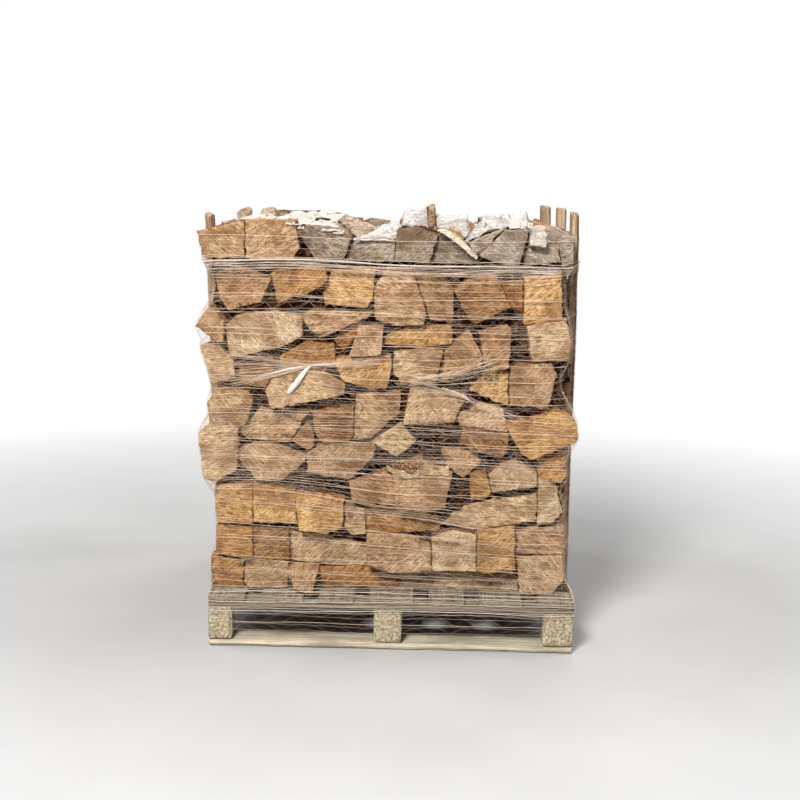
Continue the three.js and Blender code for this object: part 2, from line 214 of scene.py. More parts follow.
def end_grain():
    """Sawn log ends: slanting saw marks, brown stains, faint rings about the pith, drying cracks."""
    n = Nodes("end_grain")
    grain = n.attribute("grain")
    tone = n.attribute("tone", "Color")
    slant = n.attribute("slant", "Fac")
    across, up, along = n.split(grain)
    radius = n.vector("LENGTH", n.join(across, up, 0.0), None)
    angle = n.math("ARCTAN2", up, across)
    wander = n.noise(grain, 14.0, 3.0)
    ring_phase = n.math("ADD", n.math("MULTIPLY", radius, 900.0), n.math("MULTIPLY", wander, 14.0))
    rings = n.math("MULTIPLY_ADD", n.math("SINE", ring_phase), 0.5, 0.5)
    ray_place = n.stretch((angle, radius, along), (9.0, 12.0, 1.0))
    crack = n.ramp(n.noise(ray_place, 1.6, 3.0, 0.6), (0.31, 1.0), (0.35, 0.0))
    crack = n.math("MULTIPLY", crack, n.ramp(n.noise(grain, 22.0, 1.0), (0.45, 0.0), (0.60, 1.0)))
    with_cut = n.math("ADD", across, n.math("MULTIPLY", up, slant))
    over_cut = n.math("SUBTRACT", up, n.math("MULTIPLY", across, slant))
    cut = (with_cut, over_cut, along)
    saw = n.noise(n.stretch(cut, (26.0, 210.0, 1.0)), 1.0, 4.0, 0.7)
    fine_saw = n.noise(n.stretch(cut, (40.0, 560.0, 1.0)), 1.0, 2.0)
    grit = n.noise(n.stretch(cut, (70.0, 330.0, 1.0)), 1.0, 3.0, 0.7)
    stain = n.noise(grain, 38.0, 6.0, 0.75, 0.4)
    blotch = n.noise(grain, 13.0, 4.0, 0.6, 0.5)
    deep = n.tinted(tone, (0.27, 0.19, 0.13))
    pale = n.vector("MINIMUM", n.tinted(tone, (1.30, 1.42, 1.62)), (0.92, 0.80, 0.60))
    body = n.mix(n.ramp(stain, (0.34, 0.0), (0.54, 1.0)), deep, tone)
    body = n.mix(n.ramp(saw, (0.50, 0.0), (0.62, 0.7)), body, pale)
    body = n.mix(n.ramp(saw, (0.34, 0.7), (0.50, 0.0)), body, deep)
    body = n.mix(n.ramp(fine_saw, (0.40, 0.55), (0.54, 0.0)), body, deep)
    body = n.mix(n.ramp(grit, (0.36, 0.9), (0.50, 0.0)), body, deep)
    body = n.mix(n.ramp(grit, (0.52, 0.0), (0.64, 0.6)), body, pale)
    body = n.mix(n.ramp(blotch, (0.36, 0.8), (0.54, 0.0)), body, deep)
    body = n.mix(n.math("MULTIPLY", rings, 0.18), body, deep)
    rim = n.attribute("rim", "Fac")
    edge = n.tinted(tone, (0.42, 0.34, 0.28))
    body = n.mix(n.ramp(rim, (0.0, 0.55), (0.04, 0.0)), body, edge)
    body = n.mix(n.math("MULTIPLY", crack, 0.85), body, (0.055, 0.03, 0.018))
    height = n.math("ADD", n.math("MULTIPLY", saw, 0.8), n.math("MULTIPLY", fine_saw, 0.4))
    height = n.math("SUBTRACT", height, n.math("MULTIPLY", crack, 2.0))
    return n.finish(body, height, n.math("MULTIPLY_ADD", stain, -0.15, 0.92), 0.6, 0.0018, 0.15)


def split_wood():
    """Split faces: long fibres, torn streaks and darker stripes along the log."""
    n = Nodes("split_wood")
    grain = n.split(n.attribute("grain"))
    tone = n.attribute("tone", "Color")
    fibres = n.noise(n.stretch(grain, (300.0, 300.0, 9.0)), 1.0, 4.0, 0.7)
    stripes = n.noise(n.stretch(grain, (55.0, 55.0, 3.5)), 1.0, 4.0, 0.6, 0.4)
    deep = n.tinted(tone, (0.44, 0.27, 0.17))
    pale = n.mix(0.30, tone, (0.80, 0.66, 0.48))
    body = n.mix(n.ramp(stripes, (0.34, 0.0), (0.56, 1.0)), deep, tone)
    body = n.mix(n.ramp(stripes, (0.56, 0.0), (0.72, 0.8)), body, pale)
    body = n.mix(n.ramp(fibres, (0.36, 0.80), (0.56, 0.0)), body, deep)
    return n.finish(body, fibres, n.math("MULTIPLY_ADD", stripes, -0.1, 0.9), 0.9, 0.003, 0.15)


def bark():
    """Bark: grey-brown plates with furrows along the log and paler lichen-grey flecks."""
    n = Nodes("bark")
    plate_place = n.stretch(n.split(n.attribute("grain")), (90.0, 90.0, 26.0))
    plates = n.noise(plate_place, 1.0, 4.0, 0.6, 0.6)
    flecks = n.noise(plate_place, 3.0, 3.0, 0.6)
    furrow, middle, ridge = (0.062, 0.026, 0.016), (0.21, 0.092, 0.050), (0.34, 0.18, 0.105)
    body = n.ramp(plates, (0.32, furrow), (0.50, middle), (0.70, ridge))
    body = n.mix(n.ramp(flecks, (0.58, 0.0), (0.72, 0.5)), body, (0.38, 0.28, 0.20))
    body = n.mix(0.25, body, n.attribute("tone", "Color"), "MULTIPLY")
    return n.finish(body, plates, 0.93, 0.9, 0.004, 0.15)


def sawn_board(name, pale, deep, axis, worn):
    """Sawn pallet wood with its grain along one axis, 0 for X and 1 for Y, greyed and dirty in places, with
    painted shade on the faces that point down.
    """
    n = Nodes(name)
    place = n.position()
    parts = n.split(place)
    fine, broad = [230.0, 230.0, 230.0], [38.0, 38.0, 60.0]
    fine[axis], broad[axis] = 6.0, 2.2
    grain = n.noise(n.stretch(parts, fine), 1.0, 4.0, 0.6)
    streak = n.noise(n.stretch(parts, broad), 1.0, 3.0, 0.5, 0.4)
    dirt = n.noise(place, 7.0, 4.0, 0.6)
    body = n.mix(n.ramp(streak, (0.28, 0.0), (0.62, 1.0)), deep, pale)
    pores = n.tinted(deep, (0.6, 0.57, 0.52))
    body = n.mix(n.ramp(grain, (0.40, worn), (0.54, 0.0)), body, pores)
    body = n.mix(n.ramp(dirt, (0.36, 0.45), (0.58, 0.0)), body, (0.20, 0.165, 0.11))
    # Painted shade: faces that point down are darkened to near black brown.
    painted_underside_shade = n.ramp(n.split(n.facing())[2], (0.0, 0.9), (0.1, 0.0))
    body = n.mix(painted_underside_shade, body, (0.06, 0.04, 0.025))
    return n.finish(body, grain, 0.86, 0.4, 0.0015, 0.2)


def block_wood():
    """Pallet blocks: sawn end grain, mottled and olive-beige."""
    n = Nodes("block_wood")
    place = n.position()
    fine = n.noise(place, 130.0, 5.0, 0.7)
    broad = n.noise(place, 30.0, 3.0, 0.55)
    pit, middle, high = (0.15, 0.11, 0.06), (0.46, 0.385, 0.25), (0.74, 0.65, 0.48)
    body = n.ramp(fine, (0.38, pit), (0.50, middle), (0.62, high))
    body = n.mix(n.ramp(broad, (0.34, 0.5), (0.58, 0.0)), body, (0.30, 0.24, 0.14))
    return n.finish(body, fine, 0.9, 0.6, 0.002, 0.2)


def thread_white():
    """Knitted polyethylene thread: off-white, slightly shiny, dusty in places."""
    n = Nodes("thread_white")
    place = n.position()
    dust = n.noise(place, 18.0, 3.0, 0.6)
    body = n.mix(n.ramp(dust, (0.36, 0.0), (0.60, 0.6)), (0.80, 0.66, 0.52), (0.50, 0.34, 0.23))
    return n.finish(body, n.noise(place, 900.0, 1.0), 0.5, 0.2, 0.0003, 0.4)


def gathered_netting():
    """Netting drawn together, so that its threads lie side by side and read as white."""
    n = Nodes("gathered_netting")
    place = n.position()
    strands = n.noise(place, 240.0, 3.0, 0.6)
    body = n.mix(n.ramp(strands, (0.34, 0.5), (0.56, 0.0)), (0.78, 0.73, 0.67), (0.50, 0.44, 0.38))
    return n.finish(body, strands, 0.5, 0.5, 0.001, 0.4)


def slack_netting():
    """Netting crumpled on itself: off-white, with its knitted lines showing as fine stripes and gaps."""
    n = Nodes("slack_netting")
    across, along, _ = n.split(n.attribute("weave"))
    lines = n.math("MULTIPLY_ADD", n.math("SINE", n.math("MULTIPLY", across, 1500.0)), 0.5, 0.5)
    slanted = n.math("MULTIPLY", n.math("ADD", across, along), 1100.0)
    laps = n.math("MULTIPLY_ADD", n.math("SINE", slanted), 0.5, 0.5)
    worn = n.noise(n.position(), 60.0, 4.0, 0.65)
    cover = n.math("MAXIMUM", lines, n.math("MULTIPLY", laps, 0.7))
    body = n.mix(n.ramp(cover, (0.2, 0.0), (0.7, 1.0)), (0.56, 0.51, 0.45), (0.82, 0.79, 0.74))
    body = n.mix(n.ramp(worn, (0.35, 0.7), (0.60, 0.0)), body, (0.50, 0.44, 0.37))
    return n.finish(body, cover, 0.6, 0.5, 0.001, 0.3)


def birch():
    """Birch bark: white to grey skins that peel in streaks along the billet, with dark pits, and painted
    shade in its creases and folds.
    """
    n = Nodes("birch_bark")
    grain = n.attribute("grain")
    tone = n.attribute("tone", "Color")
    parts = n.split(grain)
    streaks = n.noise(n.stretch(parts, (150.0, 190.0, 24.0)), 1.0, 4.0, 0.6, 0.5)
    pits = n.noise(grain, 60.0, 4.0, 0.65)
    fold_place = n.stretch(parts, (24.0, 85.0, 24.0))
    crease = n.ramp(n.noise(fold_place, 1.0, 2.0, 0.5, 0.8), (0.46, 0.0), (0.50, 0.8), (0.54, 0.0))
    folds = n.noise(fold_place, 0.7, 3.0, 0.6, 0.8)
    shaded, crease_shade, folded = (
        n.tinted(tone, tint) for tint in ((0.60, 0.55, 0.50), (0.36, 0.34, 0.33), (0.50, 0.48, 0.47))
    )
    body = n.mix(n.ramp(streaks, (0.36, 0.85), (0.54, 0.0)), tone, shaded)
    # Painted shade: darker lines along the creases and darker patches in the folds.
    body = n.mix(crease, body, crease_shade)
    body = n.mix(n.ramp(folds, (0.36, 0.75), (0.54, 0.0)), body, folded)
    body = n.mix(n.ramp(pits, (0.34, 0.9), (0.40, 0.0)), body, (0.20, 0.15, 0.11))
    return n.finish(body, streaks, 0.75, 0.7, 0.002, 0.3)


def nail_steel():
    """Dull nail heads with a little rust."""
    n = Nodes("nail_steel")
    rust = n.noise(n.position(), 300.0, 2.0)
    body = n.mix(n.ramp(rust, (0.4, 0.0), (0.6, 1.0)), (0.22, 0.21, 0.20), (0.20, 0.09, 0.04))
    return n.finish(body, rust, 0.55, 0.3, 0.0005, 0.5)


MATERIALS = {
    "end": end_grain(),
    "split": split_wood(),
    "bark": bark(),
    "deck": sawn_board("deck_wood", (0.36, 0.295, 0.20), (0.13, 0.10, 0.06), 1, 0.8),
    "cross": sawn_board("cross_wood", (0.38, 0.315, 0.22), (0.14, 0.105, 0.065), 0, 0.8),
    "bottom": sawn_board("bottom_wood", (0.80, 0.72, 0.56), (0.50, 0.43, 0.31), 0, 0.65),
    "block": block_wood(),
    "thread": thread_white(),
    "slack": slack_netting(),
    "gathered": gathered_netting(),
    "birch": birch(),
    "nail": nail_steel(),
}

# ---------------------------------------------------------------------------------------------
# Meshes from arrays.


SHARP_ANGLE = math.radians(38)


def make_piece(name, places, faces, finishes, finish_of, fields):
    """A mesh piece that rides on the load. fields maps attribute names to one vector or number a point."""
    mesh = bpy.data.meshes.new(name)
    mesh.from_pydata([], [], [])
    mesh.vertices.add(len(places))
    mesh.vertices.foreach_set("co", np.asarray(places, np.float32).ravel())
    sizes = np.array([len(f) for f in faces], np.int32)
    mesh.loops.add(int(sizes.sum()))
    mesh.loops.foreach_set("vertex_index", np.concatenate([np.asarray(f, np.int32) for f in faces]))
    mesh.polygons.add(len(faces))
    mesh.polygons.foreach_set("loop_start", np.concatenate([[0], np.cumsum(sizes)[:-1]]).astype(np.int32))
    for finish in finishes:
        mesh.materials.append(MATERIALS[finish])
    mesh.polygons.foreach_set("material_index", np.asarray(finish_of, np.int32))
    for key, values in fields.items():
        values = np.asarray(values, np.float32)
        kind = "FLOAT_VECTOR" if values.ndim == 2 else "FLOAT"
        attribute = mesh.attributes.new(key, kind, "POINT")
        attribute.data.foreach_set("vector" if values.ndim == 2 else "value", values.ravel())
    mesh.update(calc_edges=True)
    mesh.validate()
    mesh.shade_smooth()
    mesh.set_sharp_from_angle(angle=SHARP_ANGLE)
    piece = bpy.data.objects.new(name, mesh)
    bpy.context.scene.collection.objects.link(piece)
    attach(piece, "root")
    return piece


class Gather:
    """Collects the parts of one piece, so that many small closed meshes make one object."""

    def __init__(self):
        self.places, self.faces, self.finish = [], [], []
        self.fields = {}
        self.count = 0

    def add(self, places, faces, finish=0, **fields):
        self.places.append(np.asarray(places, float))
        self.faces.extend([i + self.count for i in face] for face in faces)
        self.finish.extend(finish if np.ndim(finish) else [finish] * len(faces))
        for key, values in fields.items():
            self.fields.setdefault(key, []).append(np.asarray(values, float))
        self.count += len(places)

    def piece(self, name, slot, finishes):
        fields = {key: np.concatenate(values) for key, values in self.fields.items()}
        places = np.concatenate(self.places)
        return make_piece(name, places, self.faces, finishes, self.finish, fields)


def tube_faces(rings, around):
    """The quads between one ring of points and the next."""
    after = [(i + 1) % around for i in range(around)]
    return [
        (j * around + i, j * around + after[i], (j + 1) * around + after[i], (j + 1) * around + i)
        for j in range(rings - 1) for i in range(around)
    ]


def ring_face(ring, around):
    """The face that closes one ring of points."""
    return [ring * around + i for i in range(around)]


# ---------------------------------------------------------------------------------------------
# Logs. A course's CAD solid shows each log's sawn end as one flat face, which gives its outline.


def log_ends(node, facing):
    """The logs of a CAD course: (outline of x, z corners anticlockwise, y of the end), left to right."""
    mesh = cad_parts[node].data
    planes = {}
    for face in mesh.polygons:
        if face.normal.y * facing < 0.9999:
            continue
        corners = [mesh.vertices[i].co for i in face.vertices]
        planes.setdefault(round(corners[0].y, 5), []).extend((c.x, c.z) for c in corners)
    logs = []
    for y, corners in planes.items():
        points = [Vector(c) for c in sorted(set((round(x, 5), round(z, 5)) for x, z in corners))]
        hull = [points[i] for i in geometry.convex_hull_2d(points)]
        logs.append((tidy_outline(np.array([tuple(p) for p in hull])), y))
    return sorted(logs, key=lambda found: found[0][:, 0].mean())


def tidy_outline(outline, shortest=0.004):
    """Drops corners that crowd their neighbour or lie on a straight edge."""
    kept = []
    for i, corner in enumerate(outline):
        before, after = outline[i - 1], outline[(i + 1) % len(outline)]
        way_in, way_out = corner - before, after - corner
        turn = abs(way_in[0] * way_out[1] - way_in[1] * way_out[0])
        crowded = kept and np.hypot(*(corner - kept[-1])) < shortest
        if not crowded and turn > 0.02 * np.hypot(*way_in) * np.hypot(*way_out):
            kept.append(corner)
    return np.array(kept)


def inset_outline(outline, depth):
    """The convex outline moved in by depth on every edge."""
    moved = []
    count = len(outline)
    for i in range(count):
        a, b, c = outline[i - 1], outline[i], outline[(i + 1) % count]
        n1 = np.array([-(b - a)[1], (b - a)[0]]) / np.hypot(*(b - a))
        n2 = np.array([-(c - b)[1], (c - b)[0]]) / np.hypot(*(c - b))
        lean = 1 + n1 @ n2
        moved.append(b + depth * (n1 + n2) / max(lean, 0.35))
    return np.array(moved)


def dense_outline(outline, spacing, chip):
    """Points round the outline with small chamfers at its corners, and the edge each point lies on."""
    points, edges = [], []
    count = len(outline)
    for i in range(count):
        a, b = outline[i], outline[(i + 1) % count]
        length = np.hypot(*(b - a))
        trim = min(chip, 0.2 * length) / length
        steps = max(2, int(round(length * (1 - 2 * trim) / spacing)) + 1)
        for t in np.linspace(trim, 1 - trim, steps):
            points.append(a + t * (b - a))
            edges.append(i)
    return np.array(points), np.array(edges)


def outward(points):
    """Unit normals pointing out of an anticlockwise outline."""
    way = np.roll(points, -1, 0) - np.roll(points, 1, 0)
    normal = np.stack([way[:, 1], -way[:, 0]], 1)
    return normal / np.maximum(np.hypot(*normal.T), 1e-9)[:, None]


def corner_angles(outline):
    before = np.roll(outline, 1, 0) - outline
    after = np.roll(outline, -1, 0) - outline
    cosine = (before * after).sum(1) / (np.hypot(*before.T) * np.hypot(*after.T))
    return np.arccos(np.clip(cosine, -1, 1))


def choose_pith(outline, rng):
    """A split log's pith lies past its sharpest corner, and the bark is on the edges far from it."""
    corner = outline[int(np.argmin(corner_angles(outline)))]
    middle = outline.mean(0)
    pith = corner + (corner - middle) * rng.uniform(-0.15, 0.45)
    ends = np.roll(outline, -1, 0)
    centres = (outline + ends) / 2
    edge_way = (ends - outline) / np.hypot(*(ends - outline).T)[:, None]
    facing = np.abs(edge_way[:, 0] * (centres - pith)[:, 1] - edge_way[:, 1] * (centres - pith)[:, 0])
    share = facing / np.hypot(*(centres - pith).T)
    far = np.hypot(*(centres - pith).T)
    barked = (share > 0.80) & (far > 0.8 * far.max())
    return pith, barked


def side_limit(side, y, z, row):
    """How far out a log may reach past the middle at this depth and height: wide before and behind a row's
    stakes only at the load's two open ends, and inside the stakes' faces elsewhere."""
    face = face_at(side, row, z)
    low_corner, high_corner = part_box(f"stake_{side}_{row}")
    flare_depth = LOG_LENGTH - (high_corner.y - low_corner.y) / 2
    ahead = np.maximum(low_corner.y - 0.004 - y, 0) if row == "front" else 0.0 * y
    behind = np.maximum(y - high_corner.y - 0.004, 0) if row == "rear" else 0.0 * y
    flare = OPEN_END_FLARE * (ahead + behind) / flare_depth
    return face - 0.0035 * np.sign(face) + np.sign(face) * flare


def stake_face(side, row):
    """The inner face of one stake: (x, z) at the foot and at the top."""
    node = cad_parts[f"stake_{side}_{row}"]
    places = np.array([tuple(v.co) for v in node.data.vertices])
    foot = places[places[:, 2] < places[:, 2].min() + 0.01]
    top = places[places[:, 2] > places[:, 2].max() - 0.02]
    inner = np.min if side == "right" else np.max
    return (inner(foot[:, 0]), foot[:, 2].mean()), (inner(top[:, 0]), top[:, 2].mean())


STAKE_FACES = {(side, row): stake_face(side, row) for side in ("left", "right") for row in ROWS}


def face_at(side, row, z):
    """Where the inner face of one stake lies at a height."""
    low, high = STAKE_FACES[side, row]
    return np.interp(z, (low[1], high[1]), (low[0], high[0]))


DETAIL = {
    "front": {"spacing": 0.0075, "stations": 13, "rings": (0.985, 0.90, 0.70, 0.42)},
    "middle": {"spacing": 0.014, "stations": 7, "rings": (0.985, 0.6)},
    "rear": {"spacing": 0.009, "stations": 10, "rings": (0.985, 0.88, 0.55)},
}


def log_mesh(gather, outline, start, end, row, seed, tone):
    """One split log from y start to y end, closed, with its fields for the materials."""
    rng = np.random.default_rng(seed)
    detail = DETAIL[row]
    pith, barked = choose_pith(outline, rng)
    cell = inset_outline(outline, rng.uniform(-0.0022, 0.0004))
    ring, edges = dense_outline(cell, detail["spacing"], rng.uniform(0.0015, 0.004))
    normals = outward(ring)
    on_bark = barked[edges]
    arc = np.concatenate([[0], np.cumsum(np.hypot(*np.diff(ring, axis=0).T))])
    span = arc[-1]
    middle = ring.mean(0)
    share = np.linspace(0, 1, detail["stations"])
    share = 0.5 - 0.5 * np.cos(np.pi * share) * (0.35 + 0.65 * np.abs(np.cos(np.pi * share)) ** 0.2)
    share = (share - share.min()) / (share.max() - share.min())
    tilt = rng.uniform(-0.055, 0.055, 2)
    away = ring - middle
    rows = []
    for t in share:
        y = start + t * (end - start)
        long_grain = noise(seed, arc / 0.014, y / 0.30 + 3.1) * 0.0019
        splinter = noise(seed + 7, arc / 0.006, y / 0.09) * 0.0009
        knobble = noise(seed + 13, arc / 0.018, y / 0.035) * 0.0022
        depth = np.where(on_bark, knobble - 0.0014, long_grain + splinter - 0.0008)
        broad = noise(seed + 21, arc / span * 3.0, y / 0.22) * 0.0012 - 0.0006
        chipped = np.minimum(noise(seed + 41, arc / 0.011, t) * 0.0045 + 0.0008, 0) * abs(1 - 2 * t) ** 9
        points = ring + normals * (depth + broad + chipped)[:, None]
        skew = (away @ tilt) * (1 if t in (0.0, 1.0) else abs(1 - 2 * t) ** 3)
        rows.append(np.stack([points[:, 0], y + skew, points[:, 1]], 1))
    body = np.stack(rows)
    low = side_limit("left", body[..., 1], body[..., 2], row)
    high = side_limit("right", body[..., 1], body[..., 2], row)
    body[..., 0] = np.clip(body[..., 0], low, high)
    add_closed_tube(gather, body, detail["rings"], seed, on_bark, pith, tone, rng)


def add_closed_tube(gather, body, ring_shares, seed, on_bark, pith, tone, rng, crown=0.0):
    """Faces for a stack of rings with end caps of smaller rings round a middle point."""
    stations, count = body.shape[:2]
    places = [body.reshape(-1, 3)]
    rim = [np.zeros(stations * count)]
    faces = tube_faces(stations, count)
    finish = [2 if on_bark[i] and on_bark[(i + 1) % count] else 1 for i in range(count)] * (stations - 1)
    total = stations * count
    for face_row, facing in ((0, -1), (stations - 1, 1)):
        edge = body[face_row]
        middle = edge.mean(0)
        previous = np.arange(count) + face_row * count
        for r, share in enumerate(ring_shares):
            inner = middle + (edge - middle) * share
            rough = noise(seed + 31 + r, inner[:, 0] / 0.010, inner[:, 2] / 0.010) * 0.0007
            proud = 0.0009 if r == 0 else 0.0012
            inner[:, 1] += facing * (proud * (1 if r else 0.6) + rough + crown * (1 - share * share))
            ids = total + np.arange(count)
            for i in range(count):
                k = (i + 1) % count
                quad = (previous[i], ids[i], ids[k], previous[k])
                faces.append(quad if facing > 0 else quad[::-1])
                finish.append(0)
            places.append(inner)
            rim.append(np.full(count, 1 - share))
            previous = ids
            total += count
        places.append(middle[None] + [[0, facing * (0.0012 + crown), 0]])
        rim.append(np.ones(1))
        for i in range(count):
            k = (i + 1) % count
            triangle = (previous[i], total, previous[k])
            faces.append(triangle if facing > 0 else triangle[::-1])
            finish.append(0)
        total += 1
    places = np.concatenate(places)
    grain = np.stack([places[:, 0] - pith[0], places[:, 2] - pith[1], places[:, 1] + rng.uniform(0, 40)], 1)
    slant = np.full(len(places), rng.uniform(-1.1, 1.1))
    tones = np.tile(tone, (len(places), 1))
    gather.add(places, faces, finish, grain=grain, rim=np.concatenate(rim), tone=tones, slant=slant)


# Tones of wood. A log draws one from a mix, and the top course is weathered.
TONES = {
    "t": (0.61, 0.40, 0.22),
    "k": (0.55, 0.33, 0.16),
    "o": (0.70, 0.41, 0.15),
    "y": (0.85, 0.51, 0.21),
    "r": (0.55, 0.29, 0.10),
    "p": (0.73, 0.51, 0.29),
    "w": (0.81, 0.60, 0.36),
    "b": (0.43, 0.23, 0.10),
    "g": (0.48, 0.42, 0.33),
    "h": (0.41, 0.34, 0.24),
}
WOOD_MIX = "ttkpokbtpwyr"
WEATHERED_MIX = "ghgt"


def log_tone(course, rng):
    """The colour of one log's wood, drawn from its course's mix."""
    mix = WEATHERED_MIX if course == COURSES else WOOD_MIX
    tone = np.array(TONES[mix[rng.integers(len(mix))]])
    return np.clip(tone * rng.uniform(0.95, 1.05) * rng.uniform(0.98, 1.02, 3), 0, 0.88)


def add_course(row, course):
    node = f"logs_{row}_course_{course}"
    low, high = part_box(node)
    facing = 1 if row == "rear" else -1
    gather = Gather()
    for i, (outline, y) in enumerate(log_ends(node, facing)):
        seed = 1000 * ROWS.index(row) + 37 * course + 11 * i + 5
        tone = log_tone(course, np.random.default_rng(seed + 500))
        if facing < 0:
            start, end = y, min(y + LOG_LENGTH, high.y)
        else:
            start, end = max(y - LOG_LENGTH, low.y), y
        log_mesh(gather, outline, start, end, row, seed, tone)
    slot = "weathered_wood" if course == COURSES else "log_wood"
    piece = gather.piece(f"logs_{row}_{course}", slot, ("end", "split", "bark"))
    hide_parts(node)
    return piece


LOG_PIECES = [add_course(row, course) for row in ROWS for course in range(1, COURSES + 1)]

# ---------------------------------------------------------------------------------------------
# Boards, blocks and stakes: boxes with rounded, worn edges and uneven faces.


def box_lattice(size, radius, spacing):
    """Points on the surface of a box about the origin, close together at its edges, and its faces."""
    marks = []
    turn = radius * 0.45
    for length in size:
        steps = max(2, int(round((length - 2 * radius) / spacing)) + 1)
        inner = np.linspace(radius, length - radius, steps)
        marks.append(np.concatenate([[0, turn], inner, [length - turn, length]]) - length / 2)
    counts = [len(m) for m in marks]
    ids, places, faces = {}, [], []

    def point(cell):
        if cell not in ids:
            ids[cell] = len(places)
            places.append([marks[axis][cell[axis]] for axis in range(3)])
        return ids[cell]

    for axis in range(3):
        u, v = (axis + 1) % 3, (axis + 2) % 3
        for end in (0, counts[axis] - 1):
            for i in range(counts[u] - 1):
                for j in range(counts[v] - 1):
                    quad = []
                    for di, dj in ((0, 0), (1, 0), (1, 1), (0, 1)):
                        cell = [0, 0, 0]
                        cell[axis], cell[u], cell[v] = end, i + di, j + dj
                        quad.append(point(tuple(cell)))
                    faces.append(quad if end else quad[::-1])
    return np.array(places), faces


def worn_box(gather, low, high, radius, spacing, seed, dents=0.0008, wear=0.004):
    """A board or block between two corners: rounded edges worn unevenly, and faces a little wavy."""
    low, high = np.array(low), np.array(high)
    size = high - low
    places, faces = box_lattice(size, radius, spacing)
    inner = np.clip(places, -(size / 2 - radius), size / 2 - radius)
    away = places - inner
    reach = np.linalg.norm(away, axis=1)
    direction = away / np.maximum(reach, 1e-9)[:, None]
    edge = (np.abs(away) > radius * 0.3).sum(1) >= 2
    long_axis = int(np.argmax(size))
    along = places[:, long_axis]
    other = places.sum(1) - along
    loss = (noise(seed, along / 0.05, other / 0.05) * 0.5 + 0.5) * dents
    rubbed = np.clip(noise(seed + 3, along / 0.035, np.sign(other) * 3.0) + 0.1, 0, 1) ** 1.5 * wear
    loss = loss + np.where(edge, rubbed + wear * 0.12, 0)
    places = inner + direction * (radius - loss)[:, None]
    gather.add(places + (low + high) / 2, faces)


def add_boards(name, slot, finish, start, radius, spacing, seed, **shape):
    """One piece for all the CAD nodes whose names start the same."""
    gather = Gather()
    nodes = [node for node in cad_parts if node.startswith(start)]
    for i, node in enumerate(nodes):
        low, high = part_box(node)
        worn_box(gather, low, high, radius, spacing, seed + 17 * i, **shape)
    piece = gather.piece(name, slot, (finish,))
    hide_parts(*nodes)
    return piece


def add_pallet():
    deck = add_boards("deck", "pallet_wood", "deck", "deck_board", 0.0025, 0.03, 11)
    cross = add_boards("cross_boards", "pallet_wood", "cross", "cross_board", 0.003, 0.02, 211)
    bottom = add_boards("bottom_boards", "bottom_wood", "bottom", "bottom_board",
                        0.008, 0.02, 411, wear=0.005)
    blocks = add_boards("blocks", "block_wood", "block", "block", 0.008, 0.010, 611, dents=0.0016)
    return [deck, cross, bottom, blocks]


# A nail head's radius at each height above the board.
NAIL_HEAD = [(0.0045, -0.002), (0.0045, 0.0004), (0.0035, 0.0009)]


def add_nails():
    """Two nail heads wherever a deck board crosses a cross board."""
    gather = Gather()
    around = 12
    faces = [*tube_faces(3, around), ring_face(2, around), ring_face(0, around)[::-1]]
    angle = np.linspace(0, 2 * math.pi, around, endpoint=False)
    rng = np.random.default_rng(7)
    for node in (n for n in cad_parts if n.startswith("deck_board")):
        low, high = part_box(node)
        for cross in ROWS:
            cross_low, cross_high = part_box(f"cross_board_{cross}")
            for share in (0.28, 0.72):
                x = low.x + share * (high.x - low.x) + rng.uniform(-0.008, 0.008)
                y = cross_low.y + rng.uniform(0.35, 0.65) * (cross_high.y - cross_low.y)
                places = [
                    [x + r * math.cos(a), y + r * math.sin(a), high.z + z]
                    for r, z in NAIL_HEAD for a in angle
                ]
                gather.add(places, faces)
    gather.piece("nails", "pallet_wood", ("nail",))


# Where the gaps between the rows are along Y, and the row behind each.
SHADE_FLAKE_GAPS = {-0.1775: "middle", 0.1775: "rear"}
# The flakes' near black brown is painted shade for the gaps between the rows.
FLAKE_SHADE_TONE = (0.11, 0.055, 0.030)
# The very dark brown of the chips between the front logs is painted shade for those gaps.
GAP_SHADE_TONE = np.array((0.075, 0.031, 0.017))
GAP_GRID = 0.013


def chip_mesh(rng, size):
    """A flat chip about the origin, standing on edge, with a ragged outline and a thickness along Y."""
    count = 9
    angle = (np.arange(count) + rng.uniform(-0.3, 0.3, count)) * 2 * math.pi / count
    squared = np.maximum(np.abs(np.cos(angle)), np.abs(np.sin(angle))) ** -0.8
    reach = 0.5 * squared * rng.uniform(0.85, 1.1, count)
    x, z = np.cos(angle) * reach * size[0], np.sin(angle) * reach * size[2]
    half = np.full(count, size[1] / 2)
    places = np.concatenate([np.stack([x, -half, z], 1), np.stack([x, half, z], 1)])
    faces = [[i, count + i, count + (i + 1) % count, (i + 1) % count] for i in range(count)]
    faces.append(list(range(count)))
    faces.append(list(range(2 * count - 1, count - 1, -1)))
    return places, faces


def add_gap_shade_flakes():
    """Dark chips standing in the gaps between the rows: painted shade there, which also stops the view
    through the gaps.
    """
    rng = np.random.default_rng(12)
    gather = Gather()
    for y, row in SHADE_FLAKE_GAPS.items():
        for level in range(2, 23):
            height = min(0.10 + level * 0.045, 1.07)
            left, right = (face_at(side, row, height) for side in ("left", "right"))
            for x in np.linspace(left + 0.006, right - 0.006, 17):
                size = [rng.uniform(0.055, 0.075), rng.uniform(0.004, 0.008), rng.uniform(0.06, 0.08)]
                middle = [x, y + rng.uniform(-0.0015, 0.0015), height + rng.uniform(-0.01, 0.01)]
                places, faces = chip_mesh(rng, size)
                places += middle
                gather.add(places, faces, grain=places, tone=np.tile(FLAKE_SHADE_TONE, (len(places), 1)))
    gather.piece("gap_shade_flakes", "log_wood", ("split",))


def inside_outline(spot, outline, slack=0.0015):
    """Whether a spot lies in an anticlockwise convex outline, or just outside it."""
    way = np.roll(outline, -1, 0) - outline
    away = spot - outline
    inwards = (way[:, 0] * away[:, 1] - way[:, 1] * away[:, 0]) / np.hypot(*way.T)
    return inwards.min() > -slack


